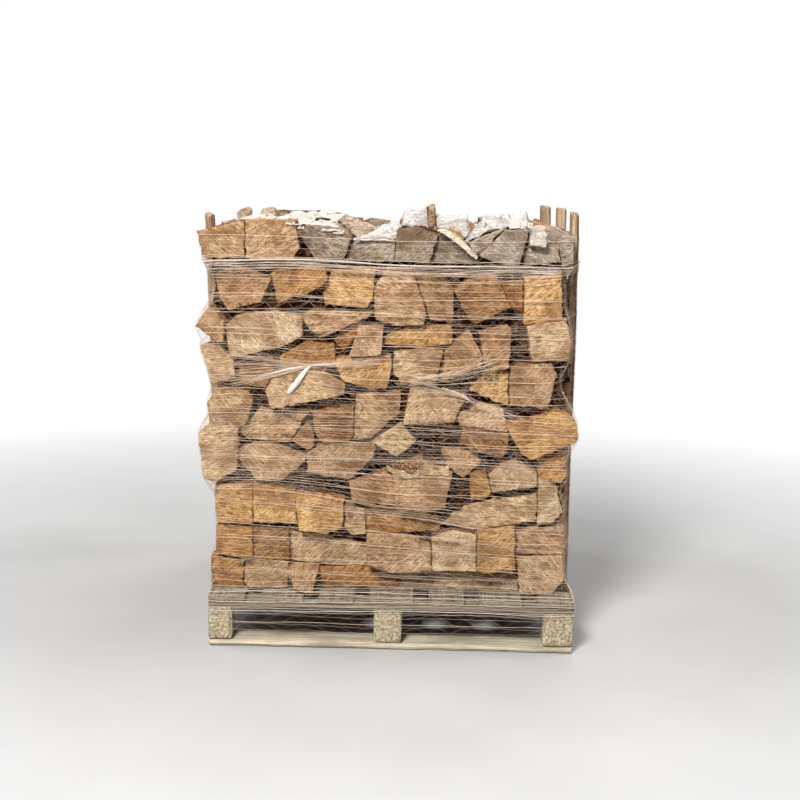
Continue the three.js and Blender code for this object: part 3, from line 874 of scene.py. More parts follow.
def add_gap_shade_chips():
    """Dark chips a few centimetres in, in the gaps between the front row's logs: painted shade for those
    gaps.
    """
    rng = np.random.default_rng(29)
    outlines = [
        outline for course in range(1, COURSES + 1)
        for outline, _ in log_ends(f"logs_front_course_{course}", -1)
    ]
    gather = Gather()
    for z in np.arange(0.155, 1.115, GAP_GRID):
        left, right = (face_at(side, "front", z) for side in ("left", "right"))
        for x in np.arange(left + 0.016, right - 0.012, GAP_GRID):
            spot = np.array([x, z]) + rng.uniform(-0.005, 0.005, 2)
            if any(inside_outline(spot, outline) for outline in outlines):
                continue
            size = [rng.uniform(0.014, 0.026), rng.uniform(0.002, 0.005), rng.uniform(0.014, 0.024)]
            places, faces = chip_mesh(rng, size)
            lean = rng.uniform(-0.5, 0.5, 2)
            places[:, 1] += places[:, 0] * lean[0] + places[:, 2] * lean[1]
            places += (spot[0], rng.uniform(-0.485, -0.460), spot[1])
            tones = np.tile(GAP_SHADE_TONE * rng.uniform(0.4, 1.7), (len(places), 1))
            gather.add(places, faces, grain=places + rng.uniform(0, 9), tone=tones)
    gather.piece("gap_shade_chips", "log_wood", ("split",))


STAKE_TONE = (0.59, 0.46, 0.31)


def add_stake(node, seed):
    """A rough slab: wavy sides, a wane edge and a splintered top, following its CAD solid."""
    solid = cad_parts[node].data
    corners = np.array([tuple(v.co) for v in solid.vertices])
    foot = corners[corners[:, 2] < corners[:, 2].min() + 0.01]
    top = corners[corners[:, 2] > corners[:, 2].max() - 0.03]
    low, high = foot.min(0), foot.max(0)
    size = np.array([high[0] - low[0], high[1] - low[1], top[:, 2].max() - low[2]])
    places, faces = box_lattice(size, 0.003, 0.010)
    share = places[:, 2] / size[2] + 0.5
    deep = places[:, 1] / size[1]
    thick = places[:, 0] / size[0]
    side = 1 if low[0] > 0 else -1
    lean = (top[:, 0].mean() - foot[:, 0].mean()) * share
    taper = 1 - 0.1 * share
    wave = noise(seed, share * 9, deep * 0.8) * 0.003 * np.abs(thick) * 2
    edge_wave = noise(seed + 1, share * 11, np.sign(deep) * 5.0) * 0.006
    edge_wave = edge_wave + noise(seed + 2, share * 60, deep) * 0.0015
    fibre = noise(seed + 3, deep * 26, share * 5) * 0.0012
    wane = np.where(thick * side > 0, np.abs(deep * 2) ** 4 * 0.007, 0)
    x = places[:, 0] * 0.97 + lean - side * wane + np.sign(thick) * np.minimum(fibre - 0.001, 0)
    x += np.minimum(wave * np.sign(thick), 0) * np.sign(thick)
    y = places[:, 1] * taper * 0.95 + edge_wave
    ragged = (noise(seed + 5, deep * 5, thick) * 0.5 - 0.5) * 0.012
    ragged = ragged + noise(seed + 6, deep * 22, thick * 2) * 0.004 - 0.004
    z = places[:, 2] + np.where(share > 0.985, ragged, 0)
    gather = Gather()
    middle = np.array([(low[0] + high[0]) / 2, (low[1] + high[1]) / 2, low[2] + size[2] / 2])
    placed = np.stack([x, y, z], 1) + middle
    grain = np.stack([placed[:, 0] + side * 0.1, placed[:, 1], placed[:, 2] + seed], 1)
    tones = np.tile(STAKE_TONE, (len(placed), 1))
    outer = np.array([(places[f, 0] * side).mean() > size[0] * 0.45 for f in faces]).astype(int)
    gather.add(placed, faces, outer * (seed % 2), grain=grain, tone=tones)
    piece = gather.piece(node.replace("stake", "slab"), "stake_wood", ("split", "bark"))
    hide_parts(node)
    return piece


PALLET_PIECES = add_pallet()
add_nails()
add_gap_shade_flakes()
add_gap_shade_chips()
STAKE_PIECES = [
    add_stake(f"stake_{side}_{row}", 70 + 3 * i)
    for i, (side, row) in enumerate((s, r) for s in ("left", "right") for r in ROWS)
]

# ---------------------------------------------------------------------------------------------
# Netting. Its shape at each height is the load's convex outline there, as a taut wrap's is, and it
# draws in no faster than the knitting lets it.

NET_MIDDLE = np.array([-0.02, 0.0])
NET_HALF = np.array([0.53, 0.57])
NET_FOOT, NET_TOP, LEVEL = 0.03, 1.165, 0.005
LEVELS = np.arange(NET_FOOT, NET_TOP + LEVEL / 2, LEVEL)
DRAW_IN = 0.8


def net_stations():
    """Places round a rectangle a little larger than the load, close together near its four corners."""
    corners = [NET_MIDDLE + NET_HALF * c for c in ((-1, -1), (1, -1), (1, 1), (-1, 1))]
    close = np.array([0, 0.006, 0.012, 0.02, 0.032])
    stations = []
    for i, corner in enumerate(corners):
        way = corners[(i + 1) % 4] - corner
        length = np.hypot(*way)
        along = np.concatenate([close, np.arange(0.05, length - 0.04, 0.021), length - close[:0:-1]])
        stations.extend((*(corner + way * a / length), i, a) for a in along)
    return np.array(stations)


STATIONS = net_stations()


def load_outlines():
    """For each height, how far the load's convex outline lies from the middle towards each station."""
    parts = LOG_PIECES + STAKE_PIECES + PALLET_PIECES
    places = np.array([tuple(vertex.co) for part in parts for vertex in part.data.vertices])
    way = STATIONS[:, :2] - NET_MIDDLE
    way /= np.hypot(*way.T)[:, None]
    probe = np.linspace(0, 2 * math.pi, 120, endpoint=False)
    probe = np.stack([np.cos(probe), np.sin(probe)], 1)
    table = np.zeros((len(LEVELS), len(STATIONS)))
    for i, level in enumerate(LEVELS):
        near = places[np.abs(places[:, 2] - level) < 0.009][:, :2] - NET_MIDDLE
        if len(near) < 8:
            table[i] = table[i - 1]
            continue
        extreme = near[np.unique((near @ probe.T).argmax(0))]
        hull = [extreme[k] for k in geometry.convex_hull_2d([Vector(p) for p in extreme])]
        reach = np.full(len(way), 9.0)
        for a, b in zip(hull, hull[1:] + hull[:1]):
            normal = np.array([(b - a)[1], -(b - a)[0]])
            facing = way @ normal
            limit = np.where(facing > 1e-9, (a @ normal) / np.where(facing > 1e-9, facing, 1), 9.0)
            reach = np.minimum(reach, limit)
        table[i] = reach
    for order in (range(1, len(LEVELS)), range(len(LEVELS) - 2, -1, -1)):
        step = -1 if order.step == 1 else 1
        for i in order:
            table[i] = np.maximum(table[i], table[i + step] - DRAW_IN * LEVEL)
    padded = np.pad(table, ((2, 2), (0, 0)), mode="edge")
    weights = (0.1, 0.2, 0.4, 0.2, 0.1)
    table = sum(w * padded[k:k + len(table)] for k, w in enumerate(weights))
    return table, way


NET_TABLE, NET_WAY = load_outlines()


def net_place(columns, heights, proud):
    """The places on the netting at fractional station numbers and heights, proud of it by so much."""
    count = len(STATIONS)
    columns = np.mod(columns, count)
    low = np.floor(columns).astype(int) % count
    share = columns - np.floor(columns)
    rows = np.clip((heights - NET_FOOT) / LEVEL, 0, len(LEVELS) - 1.001)
    row = rows.astype(int)
    rest = rows - row
    places = 0
    for column, weight in ((low, 1 - share), ((low + 1) % count, share)):
        reach = NET_TABLE[row, column] * (1 - rest) + NET_TABLE[row + 1, column] * rest + proud
        places = places + weight[..., None] * (NET_MIDDLE + NET_WAY[column] * reach[..., None])
    return np.concatenate([places, heights[..., None]], -1)


# Where the netting is drawn together: side (0 front, 1 right, 2 back, 3 left), place along that side,
# height, how far its pull reaches along and up, and its strength.
GATHERS = [
    (0, 0.31, 0.775, 0.10, 0.060, 0.75),
    (0, 0.10, 0.745, 0.09, 0.050, 0.45),
    (0, 0.68, 0.715, 0.07, 0.060, 0.50),
    (0, 1.03, 1.05, 0.06, 0.040, 0.50),
    (0, 0.99, 0.600, 0.04, 0.030, 0.30),
    (0, 0.55, 0.375, 0.16, 0.050, 0.45),
    (0, 0.20, 0.470, 0.10, 0.040, 0.35),
    (0, 0.85, 0.330, 0.20, 0.040, 0.40),
    (0, 0.42, 0.930, 0.12, 0.040, 0.35),
    (1, 0.30, 0.80, 0.10, 0.07, 0.5),
    (1, 0.75, 0.45, 0.12, 0.06, 0.5),
    (2, 0.30, 0.60, 0.12, 0.07, 0.6),
    (2, 0.80, 0.90, 0.10, 0.06, 0.5),
    (3, 0.40, 0.55, 0.12, 0.06, 0.5),
    (3, 0.85, 0.85, 0.10, 0.06, 0.5),
]
ROPE_HEIGHT = 1.052
# The lower turns climb towards one end of the front by so much, most of all at this height.
SLANT, SLANT_HEIGHT = 0.034, 0.36


def rope_height(columns):
    """The height of the netting's bunched edge, which dips a little on its way round."""
    return ROPE_HEIGHT + 0.004 * np.sin(columns * 0.11) - 0.003 * np.sin(columns * 0.23 + 1)


def draw_together(columns, heights):
    """Moves heights towards the gathers near them, and into the bunched edge under the top course."""
    station = STATIONS[np.mod(np.round(columns).astype(int), len(STATIONS))]
    rope = rope_height(columns)
    gap = heights - rope
    heights = rope + gap * (1 - 0.80 * np.exp(-((gap / 0.022) ** 2)))
    side, along = station[..., 2], station[..., 3]
    front, left = along / (2 * NET_HALF[0]), along / (2 * NET_HALF[1])
    right = 1 - left
    lean = np.select((side == 0, side == 1, side == 3), (np.cos(math.pi * front), -(right**2), left**2), 0.0)
    heights = heights + SLANT * lean * np.exp(-(((heights - SLANT_HEIGHT) / 0.12) ** 2))
    for side, along, height, wide, tall, strength in GATHERS:
        near = (station[..., 2] == side) * np.exp(-(((station[..., 3] - along) / wide) ** 2))
        gap = heights - height
        heights = height + gap * (1 - strength * near * np.exp(-((gap / tall) ** 2)))
    return heights


def tubes(gather, paths, radius, closed):
    """Three-sided threads along many paths of the same number of points, an array of [path, point, xyz]."""
    count, steps = paths.shape[:2]
    if closed:
        way = np.roll(paths, -1, 1) - np.roll(paths, 1, 1)
    else:
        way = np.gradient(paths, axis=1)
    way /= np.maximum(np.linalg.norm(way, axis=2), 1e-9)[..., None]
    flat = np.stack([-way[..., 1], way[..., 0], np.zeros(way.shape[:2])], -1)
    flat[np.linalg.norm(flat, axis=2) < 0.05] = (1, 0, 0)
    flat /= np.linalg.norm(flat, axis=2)[..., None]
    rise = np.cross(way, flat)
    sides = 3
    rings = []
    for k in range(sides):
        angle = 2 * math.pi * k / sides
        rings.append(paths + radius * (math.cos(angle) * flat + math.sin(angle) * rise))
    places = np.stack(rings, 2).reshape(-1, 3)
    base = np.arange(count)[:, None, None] * steps * sides
    step = np.arange(steps if closed else steps - 1)
    near = base + (step * sides)[None, :, None] + np.arange(sides)[None, None, :]
    far = base + (((step + 1) % steps) * sides)[None, :, None] + np.arange(sides)[None, None, :]
    quads = np.stack([near, np.roll(near, -1, 2), np.roll(far, -1, 2), far], -1).reshape(-1, 4)
    faces = quads.tolist()
    if not closed:
        start = (np.arange(count)[:, None] * steps * sides + np.arange(sides)).tolist()
        end = (np.arange(count)[:, None] * steps * sides + (steps - 1) * sides + np.arange(sides)).tolist()
        faces += [f[::-1] for f in start] + end
    gather.add(places, faces)


LINE_RADII = (0.00060, 0.00026, 0.00022)
LAP_RADIUS, LAP_STEP = 0.00016, 1.5
# Each wrap: its foot and top, the pitch of its knitted lines, its slope in one turn, how far it stands
# proud, how thick its lines are, their finish, and a seed.
WRAPS = [
    (0.048, 0.560, 0.0135, 0.010, 0.0012, 1.0, "thread", 901),
    (0.128, 0.640, 0.0140, -0.012, 0.0026, 1.0, "thread", 902),
    (0.520, 1.072, 0.0145, 0.012, 0.0014, 1.0, "thread", 903),
    (0.600, 1.132, 0.0180, -0.008, 0.0028, 1.0, "thread", 904),
    (0.092, 0.172, 0.0085, 0.006, 0.0036, 1.4, "gathered", 905),
]


def line_heights(columns, first, seed, slope, number):
    """The height of one knitted line round the load, wandering with its wrap and a little alone."""
    turn = columns / len(STATIONS)
    together = noise(seed, columns / 31.0, 0.0) * 0.0075
    together = together + noise(seed + 1, columns / 9.0, first / 0.08) * 0.0035
    alone = noise(seed + 2, columns / 6.0, number * 7.3) * 0.0028
    alone = alone + noise(seed + 3, columns / 2.0, number * 3.7) * 0.0010
    seam = np.minimum(turn, 1 - turn) * 2
    return draw_together(columns, first + slope * seam + together * np.minimum(1, seam * 6) + alone)


def add_wrap(index, foot, top, pitch, slope, proud, thick, finish, seed):
    """One wrap of netting: knitted lines round the load, and the threads that zigzag between them."""
    columns = np.arange(len(STATIONS)).astype(float)
    rng = np.random.default_rng(seed)
    firsts = np.arange(foot, top, pitch)
    firsts = firsts + rng.uniform(-0.42, 0.42, len(firsts)) * pitch
    lines = [line_heights(columns, first, seed, slope, k) for k, first in enumerate(firsts)]
    heavy, fine = Gather(), Gather()
    for chosen, radius in enumerate(LINE_RADII):
        some = [h for k, h in enumerate(lines) if (k * 7 + index) % len(LINE_RADII) == chosen]
        tubes(heavy, np.array([net_place(columns, h, proud) for h in some]), radius * thick, True)
    legs = []
    leg_columns = np.arange(0, len(STATIONS), LAP_STEP)
    for k in range(len(lines) - 1):
        shift = rng.uniform(0, 2)
        place = leg_columns + shift + rng.uniform(-0.35, 0.35, len(leg_columns))
        place = np.clip(place, 0, len(STATIONS) - 1)
        upper = (np.arange(len(place)) + k) % 2
        below = np.interp(place, columns, lines[k])
        above = np.interp(place, columns, lines[k + 1])
        heights = np.where(upper == 0, below, above)
        legs.append(net_place(place, heights, proud + 0.0006))
    tubes(fine, np.array(legs), LAP_RADIUS, True)
    heavy.piece(f"net_lines_{index}", "netting", (finish,))
    fine.piece(f"net_laps_{index}", "netting", ("thread",))


for number, wrap in enumerate(WRAPS, 1):
    add_wrap(number, *wrap)


def add_fan(gather, rng, start, end, start_spread, end_spread, threads, sag, radius):
    """Threads that run between two places on the front, spread differently at the two ends. A place is
    the column on the netting and the height."""
    steps = 14
    t = np.linspace(0, 1, steps)
    paths = []
    for _ in range(threads):
        a = np.array(start) + rng.normal(0, 1, 2) * start_spread
        b = np.array(end) + rng.normal(0, 1, 2) * end_spread
        bow = np.sin(math.pi * t) * (sag + rng.normal(0, 0.0025))
        column = a[0] + (b[0] - a[0]) * t
        height = a[1] + (b[1] - a[1]) * t - bow + noise(17, t * 4, rng.uniform(0, 99)) * 0.0015
        paths.append(net_place(column, height, 0.004 + rng.uniform(0, 0.004)))
    tubes(gather, np.array(paths), radius, False)


def column_at(x):
    """The front station number nearest a place along X."""
    front = STATIONS[STATIONS[:, 2] == 0]
    return float(np.interp(x, front[:, 0], np.arange(len(front))))


def add_gathers():
    """The knot where the netting was caught up on the front, its tails, and a second slack gather."""
    rng = np.random.default_rng(31)
    gather = Gather()
    knot = (column_at(-0.235), 0.775)
    fans = [
        (knot, (column_at(-0.47), 0.725), (0.15, 0.002), (0.8, 0.012), 18, 0.004, 0.0004),
        (knot, (column_at(-0.47), 0.790), (0.2, 0.002), (0.9, 0.020), 22, 0.002, 0.0004),
        (knot, (column_at(-0.05), 0.785), (0.2, 0.002), (0.6, 0.010), 14, 0.0, 0.0004),
        ((column_at(-0.296), 0.700), (column_at(-0.335), 0.640), (0.4, 0.003), (1.3, 0.010), 12, 0.0, 0.0003),
        ((column_at(0.07), 0.745), (column_at(0.27), 0.790), (0.8, 0.010), (1.0, 0.018), 18, 0.010, 0.0004),
        ((column_at(0.19), 0.700), (column_at(0.36), 0.640), (0.3, 0.003), (1.0, 0.010), 7, 0.004, 0.0004),
        ((column_at(0.19), 0.700), (column_at(0.02), 0.735), (0.3, 0.003), (1.0, 0.008), 10, 0.002, 0.0004),
    ]
    for start, end, start_spread, end_spread, threads, sag, radius in fans:
        add_fan(gather, rng, start, end, np.array(start_spread), np.array(end_spread), threads, sag, radius)
    gather.piece("net_gathers", "netting", ("thread",))


def add_roll(gather, seed, stops):
    """Netting drawn into a tight white roll: a ridged, tapering closed tube along the front. Each stop
    is x, height and half-thickness."""
    stops = np.array(stops)
    steps, around = 26, 18
    t = np.linspace(0, 1, steps)
    marks = np.linspace(0, 1, len(stops))
    x, height, radius = (np.interp(t, marks, stops[:, i]) for i in range(3))
    columns = np.array([column_at(place) for place in x])
    path = net_place(columns, height, radius * 0.6 + 0.003)
    way = np.gradient(path, axis=0)
    way /= np.linalg.norm(way, axis=1)[:, None]
    out = np.tile((0.0, -1.0, 0.0), (steps, 1))
    rise = np.cross(out, way)
    angle = np.linspace(0, 2 * math.pi, around, endpoint=False)
    twist = angle[None] + t[:, None] * 2.0
    ridge = 1 + 0.16 * np.sin(6 * twist) + 0.15 * noise(seed, t[:, None] * 12, np.cos(angle)[None] * 2)
    size = radius[:, None] * ridge
    upwards = (size * np.cos(angle))[..., None] * rise[:, None]
    outwards = 0.7 * (size * np.sin(angle))[..., None] * out[:, None]
    places = path[:, None] + upwards + outwards
    faces = [*tube_faces(steps, around), ring_face(0, around)[::-1], ring_face(steps - 1, around)]
    gather.add(places.reshape(-1, 3), faces)


ROLLS = [
    ((-0.240, 0.774, 0.0030), (-0.262, 0.745, 0.0065), (-0.284, 0.716, 0.0075), (-0.300, 0.698, 0.0035)),
    ((-0.236, 0.775, 0.0020), (-0.300, 0.764, 0.0022), (-0.350, 0.750, 0.0018), (-0.390, 0.738, 0.0008)),
    ((-0.242, 0.774, 0.0026), (-0.200, 0.779, 0.0022), (-0.140, 0.783, 0.0010)),
    ((0.130, 0.722, 0.0008), (0.170, 0.710, 0.0016), (0.198, 0.698, 0.0022), (0.206, 0.690, 0.0010)),
]


def add_rolls():
    gather = Gather()
    for i, stops in enumerate(ROLLS):
        add_roll(gather, 60 + i, stops)
    gather.piece("net_rolls", "netting", ("gathered",))


def add_rope():
    """The netting's bunched edge under the top course, twisted from many of its threads."""
    gather = Gather()
    columns = np.arange(0, len(STATIONS), 0.5)
    rope = rope_height(columns)
    paths = []
    for k in range(3):
        phase = columns * 0.35 + 2 * math.pi * k / 3
        height = rope + np.sin(phase) * 0.0013 + noise(79, columns / 4.0, k * 2.3) * 0.0010
        paths.append(net_place(columns, height, 0.0045 + np.cos(phase) * 0.0012))
    tubes(gather, np.array(paths), 0.0008, True)
    gather.piece("net_rope", "netting", ("gathered",))
    gather = Gather()
    columns, rope = columns[::2], rope[::2]
    paths = []
    for k in range(16):
        drop = 0.004 + 0.022 * k / 16
        spread = noise(77, columns / 11.0, k * 1.7) * 0.009 - drop
        height = rope + spread + noise(78, columns / 4.0, k * 3.1) * 0.0015
        paths.append(net_place(columns, height, 0.0030 + 0.0001 * k))
    tubes(gather, np.array(paths), 0.00042, True)
    gather.piece("net_rope_threads", "netting", ("thread",))


def add_bunch(gather, rng, centre, size, threads, folds):
    """Crumpled netting: threads that run side by side through the same folds."""
    steps = 28
    t = np.linspace(0, 1, steps)
    turns = rng.uniform(0, 2 * math.pi, (3, 3))
    paths = []
    for k in range(threads):
        across = k / threads - 0.5
        waves = [
            np.sin(2 * math.pi * t * folds * (0.6 + 0.35 * j) + turns[axis, j] + across * (1.2 + j))
            for axis in range(3) for j in range(3)
        ]
        x = (t - 0.5) * 1.3 + 0.22 * waves[0] + 0.12 * waves[1]
        y = across * 1.5 + 0.25 * waves[3] + 0.12 * waves[4]
        z = 0.32 * waves[6] + 0.22 * waves[7] + 0.10 * waves[8] + 0.35 * (1 - 4 * across * across)
        rough = rng.normal(0, 0.03, (3, steps))
        place = np.stack([x + rough[0], y + rough[1], np.abs(z + rough[2])], -1)
        paths.append(centre + place * size)
    tubes(gather, np.array(paths), 0.0006, False)


def add_crumple(gather, seed, centre, size, turn, rise, folds):
    """A crumpled patch of slack netting, folded over many times: a thin closed sheet with deep pleats."""
    across, along = 28, 38
    u, v = np.meshgrid(np.linspace(-0.5, 0.5, across), np.linspace(-0.5, 0.5, along), indexing="ij")
    edge = 1 + 0.16 * noise(seed, u * 9, v * 9) + 0.12 * noise(seed + 1, u * 23, v * 23)
    pleats = np.abs(noise(seed + 2, u * folds * 1.2 + noise(seed + 3, u * 3, v * 3) * 0.6, v * folds * 0.7))
    crush = noise(seed + 4, u * folds * 2.7, v * folds * 2.2) * 0.25 + noise(seed + 5, u * 22, v * 22) * 0.06
    dome = np.clip(1 - 3.2 * (u * u + v * v), 0, 1)
    x = u * edge * size[0] + noise(seed + 6, u * folds, v * folds) * size[0] * 0.10
    y = v * edge * size[1] + noise(seed + 7, u * folds, v * folds) * size[1] * 0.10
    z = size[2] * (dome * 0.75 + (pleats * 0.7 + crush * 0.5) * (0.35 + 0.65 * dome)) + rise * v
    c, s = math.cos(turn), math.sin(turn)
    top = np.stack([centre[0] + c * x - s * y, centre[1] + s * x + c * y, centre[2] + z], -1)
    normal = np.cross(np.gradient(top, axis=0), np.gradient(top, axis=1))
    normal /= np.maximum(np.linalg.norm(normal, axis=2), 1e-9)[..., None]
    bottom = top - normal * 0.0008
    count = across * along
    faces = []
    for i in range(across - 1):
        for j in range(along - 1):
            a, b, c2, d = i * along + j, (i + 1) * along + j, (i + 1) * along + j + 1, i * along + j + 1
            faces.append((a, b, c2, d))
            faces.append((count + d, count + c2, count + b, count + a))
    rim = [i * along for i in range(across)]
    rim += [(across - 1) * along + j for j in range(1, along)]
    rim += [i * along + along - 1 for i in range(across - 2, -1, -1)]
    rim += [j for j in range(along - 2, 0, -1)]
    for a, b in zip(rim, rim[1:] + rim[:1]):
        faces.append((a, count + a, count + b, b))
    weave = np.concatenate([np.stack([u, v, z * 0], -1).reshape(-1, 3)] * 2)
    weave = weave * np.array([size[0], size[1], 1])
    gather.add(np.concatenate([top.reshape(-1, 3), bottom.reshape(-1, 3)]), faces, weave=weave)


CRUMPLES = [
    # middle, size, turn, rise towards its far side, folds
    ((0.328, -0.45, 1.146), (0.065, 0.09, 0.040), 0.1, 0.00, 2.2),
    ((-0.385, -0.40, 1.150), (0.110, 0.13, 0.018), 0.2, 0.01, 2.0),
    ((-0.290, -0.41, 1.150), (0.110, 0.12, 0.026), 0.5, 0.01, 2.2),
    ((-0.205, -0.42, 1.143), (0.090, 0.10, 0.016), 0.1, 0.01, 1.8),
    ((-0.055, -0.505, 1.112), (0.105, 0.045, 0.012), 0.0, 0.00, 2.4),
    ((0.300, 0.05, 1.130), (0.160, 0.16, 0.026), 0.8, 0.00, 2.4),
    ((-0.260, 0.20, 1.140), (0.180, 0.14, 0.026), 0.4, 0.00, 2.4),
    ((0.120, 0.38, 1.130), (0.180, 0.14, 0.026), -0.3, 0.00, 2.4),
]
CRUMBS = [
    ((-0.280, -0.545, 1.150), (0.022, 0.006, 0.010), 8, 2.5),
    ((-0.262, -0.548, 1.140), (0.010, 0.005, 0.012), 6, 2.5),
    ((-0.185, -0.534, 1.135), (0.030, 0.006, 0.008), 9, 3.0),
    ((-0.160, -0.534, 1.128), (0.020, 0.006, 0.010), 7, 2.5),
    ((-0.060, -0.520, 1.120), (0.050, 0.010, 0.008), 10, 2.0),
]
SILVER, CREAM, BUFF, TAN = (0.76, 0.75, 0.74), (0.80, 0.70, 0.54), (0.62, 0.50, 0.38), (0.62, 0.44, 0.27)
# The second of these, a very dark brown, is the rot's own colour together with the painted shade of its
# hollow.
DUN, ROT_AND_HOLLOW_SHADE, LIP_PALE, LIP_CREAM, LIP_WARM = (
    (0.70, 0.62, 0.53), (0.20, 0.085, 0.045), (0.80, 0.62, 0.38), (0.82, 0.66, 0.42), (0.84, 0.62, 0.34)
)
# Birch slabs and chips lying on the top: where each starts and ends along Y, its tone, and its outline of
# x, z corners as it is seen from the front.
SKINS = [
    (-0.445, -0.385, SILVER, [
        (0.007, 1.147), (0.080, 1.146), (0.077, 1.208), (0.044, 1.200), (0.022, 1.198), (0.010, 1.180),
    ]),
    (-0.430, -0.350, SILVER, [
        (0.098, 1.148), (0.127, 1.140), (0.155, 1.134), (0.183, 1.115), (0.194, 1.137), (0.184, 1.184),
        (0.158, 1.178), (0.121, 1.175), (0.099, 1.182),
    ]),
    (-0.440, -0.360, SILVER, [
        (0.172, 1.105), (0.206, 1.114), (0.249, 1.142), (0.291, 1.146), (0.307, 1.160), (0.300, 1.187),
        (0.230, 1.183), (0.218, 1.158),
    ]),
    (-0.548, -0.450, DUN, [
        (0.347, 1.108), (0.394, 1.104), (0.396, 1.145), (0.389, 1.161), (0.350, 1.155),
    ]),
    (-0.500, -0.400, SILVER, [
        (-0.127, 1.112), (-0.010, 1.112), (0.006, 1.150), (-0.008, 1.160), (-0.040, 1.154), (-0.075, 1.132),
    ]),
    (-0.548, -0.520, CREAM, [
        (0.101, 1.145), (0.131, 1.127), (0.169, 1.098), (0.208, 1.066), (0.214, 1.077), (0.169, 1.119),
        (0.125, 1.147),
    ]),
]
CHIPS = [
    (-0.452, -0.395, TAN, [
        (0.076, 1.148), (0.091, 1.143), (0.097, 1.157), (0.099, 1.195), (0.092, 1.211), (0.077, 1.206),
    ]),
    (-0.500, -0.440, TAN, [
        (0.126, 1.142), (0.154, 1.115), (0.175, 1.118), (0.163, 1.146), (0.142, 1.149),
    ]),
    (-0.450, -0.350, BUFF, [
        (-0.171, 1.160), (-0.146, 1.136), (-0.112, 1.110), (-0.060, 1.110), (-0.044, 1.140), (-0.075, 1.146),
        (-0.128, 1.168), (-0.149, 1.176),
    ]),
    (-0.400, -0.330, BUFF, [
        (-0.449, 1.156), (-0.414, 1.156), (-0.412, 1.182), (-0.425, 1.190), (-0.447, 1.180),
    ]),
    (-0.400, -0.330, BUFF, [
        (-0.391, 1.160), (-0.342, 1.158), (-0.338, 1.178), (-0.347, 1.192), (-0.380, 1.187),
    ]),
]
# A rotten pocket in the end of one log, between pale torn lips: a dark patch on the end rather than a hollow,
# coloured with the rot's own dark brown and the painted shade of the hollow.
ROT = [
    (-0.5465, -0.535, ROT_AND_HOLLOW_SHADE, [
        (-0.004, 0.500), (0.026, 0.488), (0.046, 0.480), (0.064, 0.492), (0.068, 0.512), (0.056, 0.524),
        (0.026, 0.522), (0.006, 0.516),
    ]),
]
LIPS = [
    (-0.5475, -0.535, LIP_PALE, [
        (-0.023, 0.506), (-0.018, 0.490), (0.006, 0.478), (0.014, 0.484), (0.004, 0.490),
    ]),
    (-0.5480, -0.535, LIP_PALE, [
        (0.004, 0.488), (0.008, 0.476), (0.036, 0.466), (0.040, 0.478), (0.027, 0.494),
    ]),
    (-0.5485, -0.535, LIP_CREAM, [
        (0.032, 0.482), (0.038, 0.468), (0.066, 0.470), (0.072, 0.490), (0.066, 0.502), (0.062, 0.482),
    ]),
    (-0.5478, -0.535, LIP_WARM, [
        (0.072, 0.486), (0.084, 0.480), (0.150, 0.480), (0.150, 0.510), (0.125, 0.494), (0.084, 0.499),
    ]),
]


SLAB_RINGS = (0.96, 0.86, 0.68, 0.46, 0.2)


def add_slab(gather, seed, start, end, tone, corners):
    """A chip or slab between two places along Y, closed, with a rough crowned face and its fields."""
    rng = np.random.default_rng(seed)
    ring, _ = dense_outline(np.array(corners), 0.003, 0.003)
    normals = outward(ring)
    arc = np.arange(len(ring)) * 0.003
    thick = end - start > 0.03
    torn = 1.0 if thick else 0.5
    rows = []
    for t in np.linspace(0, 1, 6):
        y = start + t * (end - start)
        ragged = noise(seed, arc / 0.012, t * 2.5) * 0.0030 + noise(seed + 1, arc / 0.005, t * 5) * 0.0011
        rounding = min(0.0030, 0.05 * (end - start)) * abs(2 * t - 1) ** 6
        points = ring + normals * (torn * ragged - rounding)[:, None]
        rows.append(np.stack([points[:, 0], np.full(len(ring), y), points[:, 1]], 1))
    barked = np.ones(len(ring), bool)
    crown = 0.03 * min(np.ptp(ring, axis=0).min(), 3 * (end - start)) if thick else 0.0
    pith = ring.mean(0)
    add_closed_tube(gather, np.stack(rows), SLAB_RINGS, seed, barked, pith, tone, rng, crown)


def add_slabs(name, slot, slabs, finishes):
    """One piece of slabs or chips. The finishes are for their ends, their split sides and their bark."""
    gather = Gather()
    for i, (start, end, tone, corners) in enumerate(slabs):
        add_slab(gather, 400 + 7 * i, start, end, tone, corners)
    gather.piece(name, slot, finishes)


def add_scraps(name, finish, seed, count, middle, spread, size, tone):
    """Small crumbs scattered about one place, such as moss or rotten wood."""
    rng = np.random.default_rng(seed)
    gather = Gather()
    for _ in range(count):
        places, faces = chip_mesh(rng, rng.uniform(0.6, 1.3, 3) * size)
        places = places + rng.normal(0, 1, 3) * spread + middle
        tones = np.tile(np.array(tone) * rng.uniform(0.6, 1.3), (len(places), 1))
        gather.add(places, faces, grain=places, tone=tones)
    gather.piece(name, "log_wood", (finish,))


add_slabs("birch_slabs", "weathered_wood", SKINS, ("birch", "split", "birch"))
add_slabs("top_chips", "weathered_wood", CHIPS, ("end", "split", "split"))
add_slabs("rot_and_shade_pocket", "log_wood", ROT, ("split", "split", "bark"))
add_slabs("rot_lips", "log_wood", LIPS, ("end", "split", "split"))
MOSSY, TURQUOISE, CRUMB_BROWN = (0.50, 0.40, 0.10), (0.30, 0.62, 0.60), (0.62, 0.36, 0.18)
# Each lot of scraps: its name and finish, a seed, how many, their middle and spread, their size and tone.
SCRAPS = [
    ("moss", "split", 77, 70, (0.252, -0.531, 0.776), (0.010, 0.002, 0.012), 0.005, MOSSY),
    ("blue_scrap", "birch", 79, 14, (-0.418, -0.549, 0.231), (0.009, 0.001, 0.002), 0.003, TURQUOISE),
    ("rot_crumbs", "split", 78, 40, (0.048, -0.548, 0.506), (0.014, 0.001, 0.008), 0.004, CRUMB_BROWN),
]
for lot in SCRAPS:
    add_scraps(*lot)


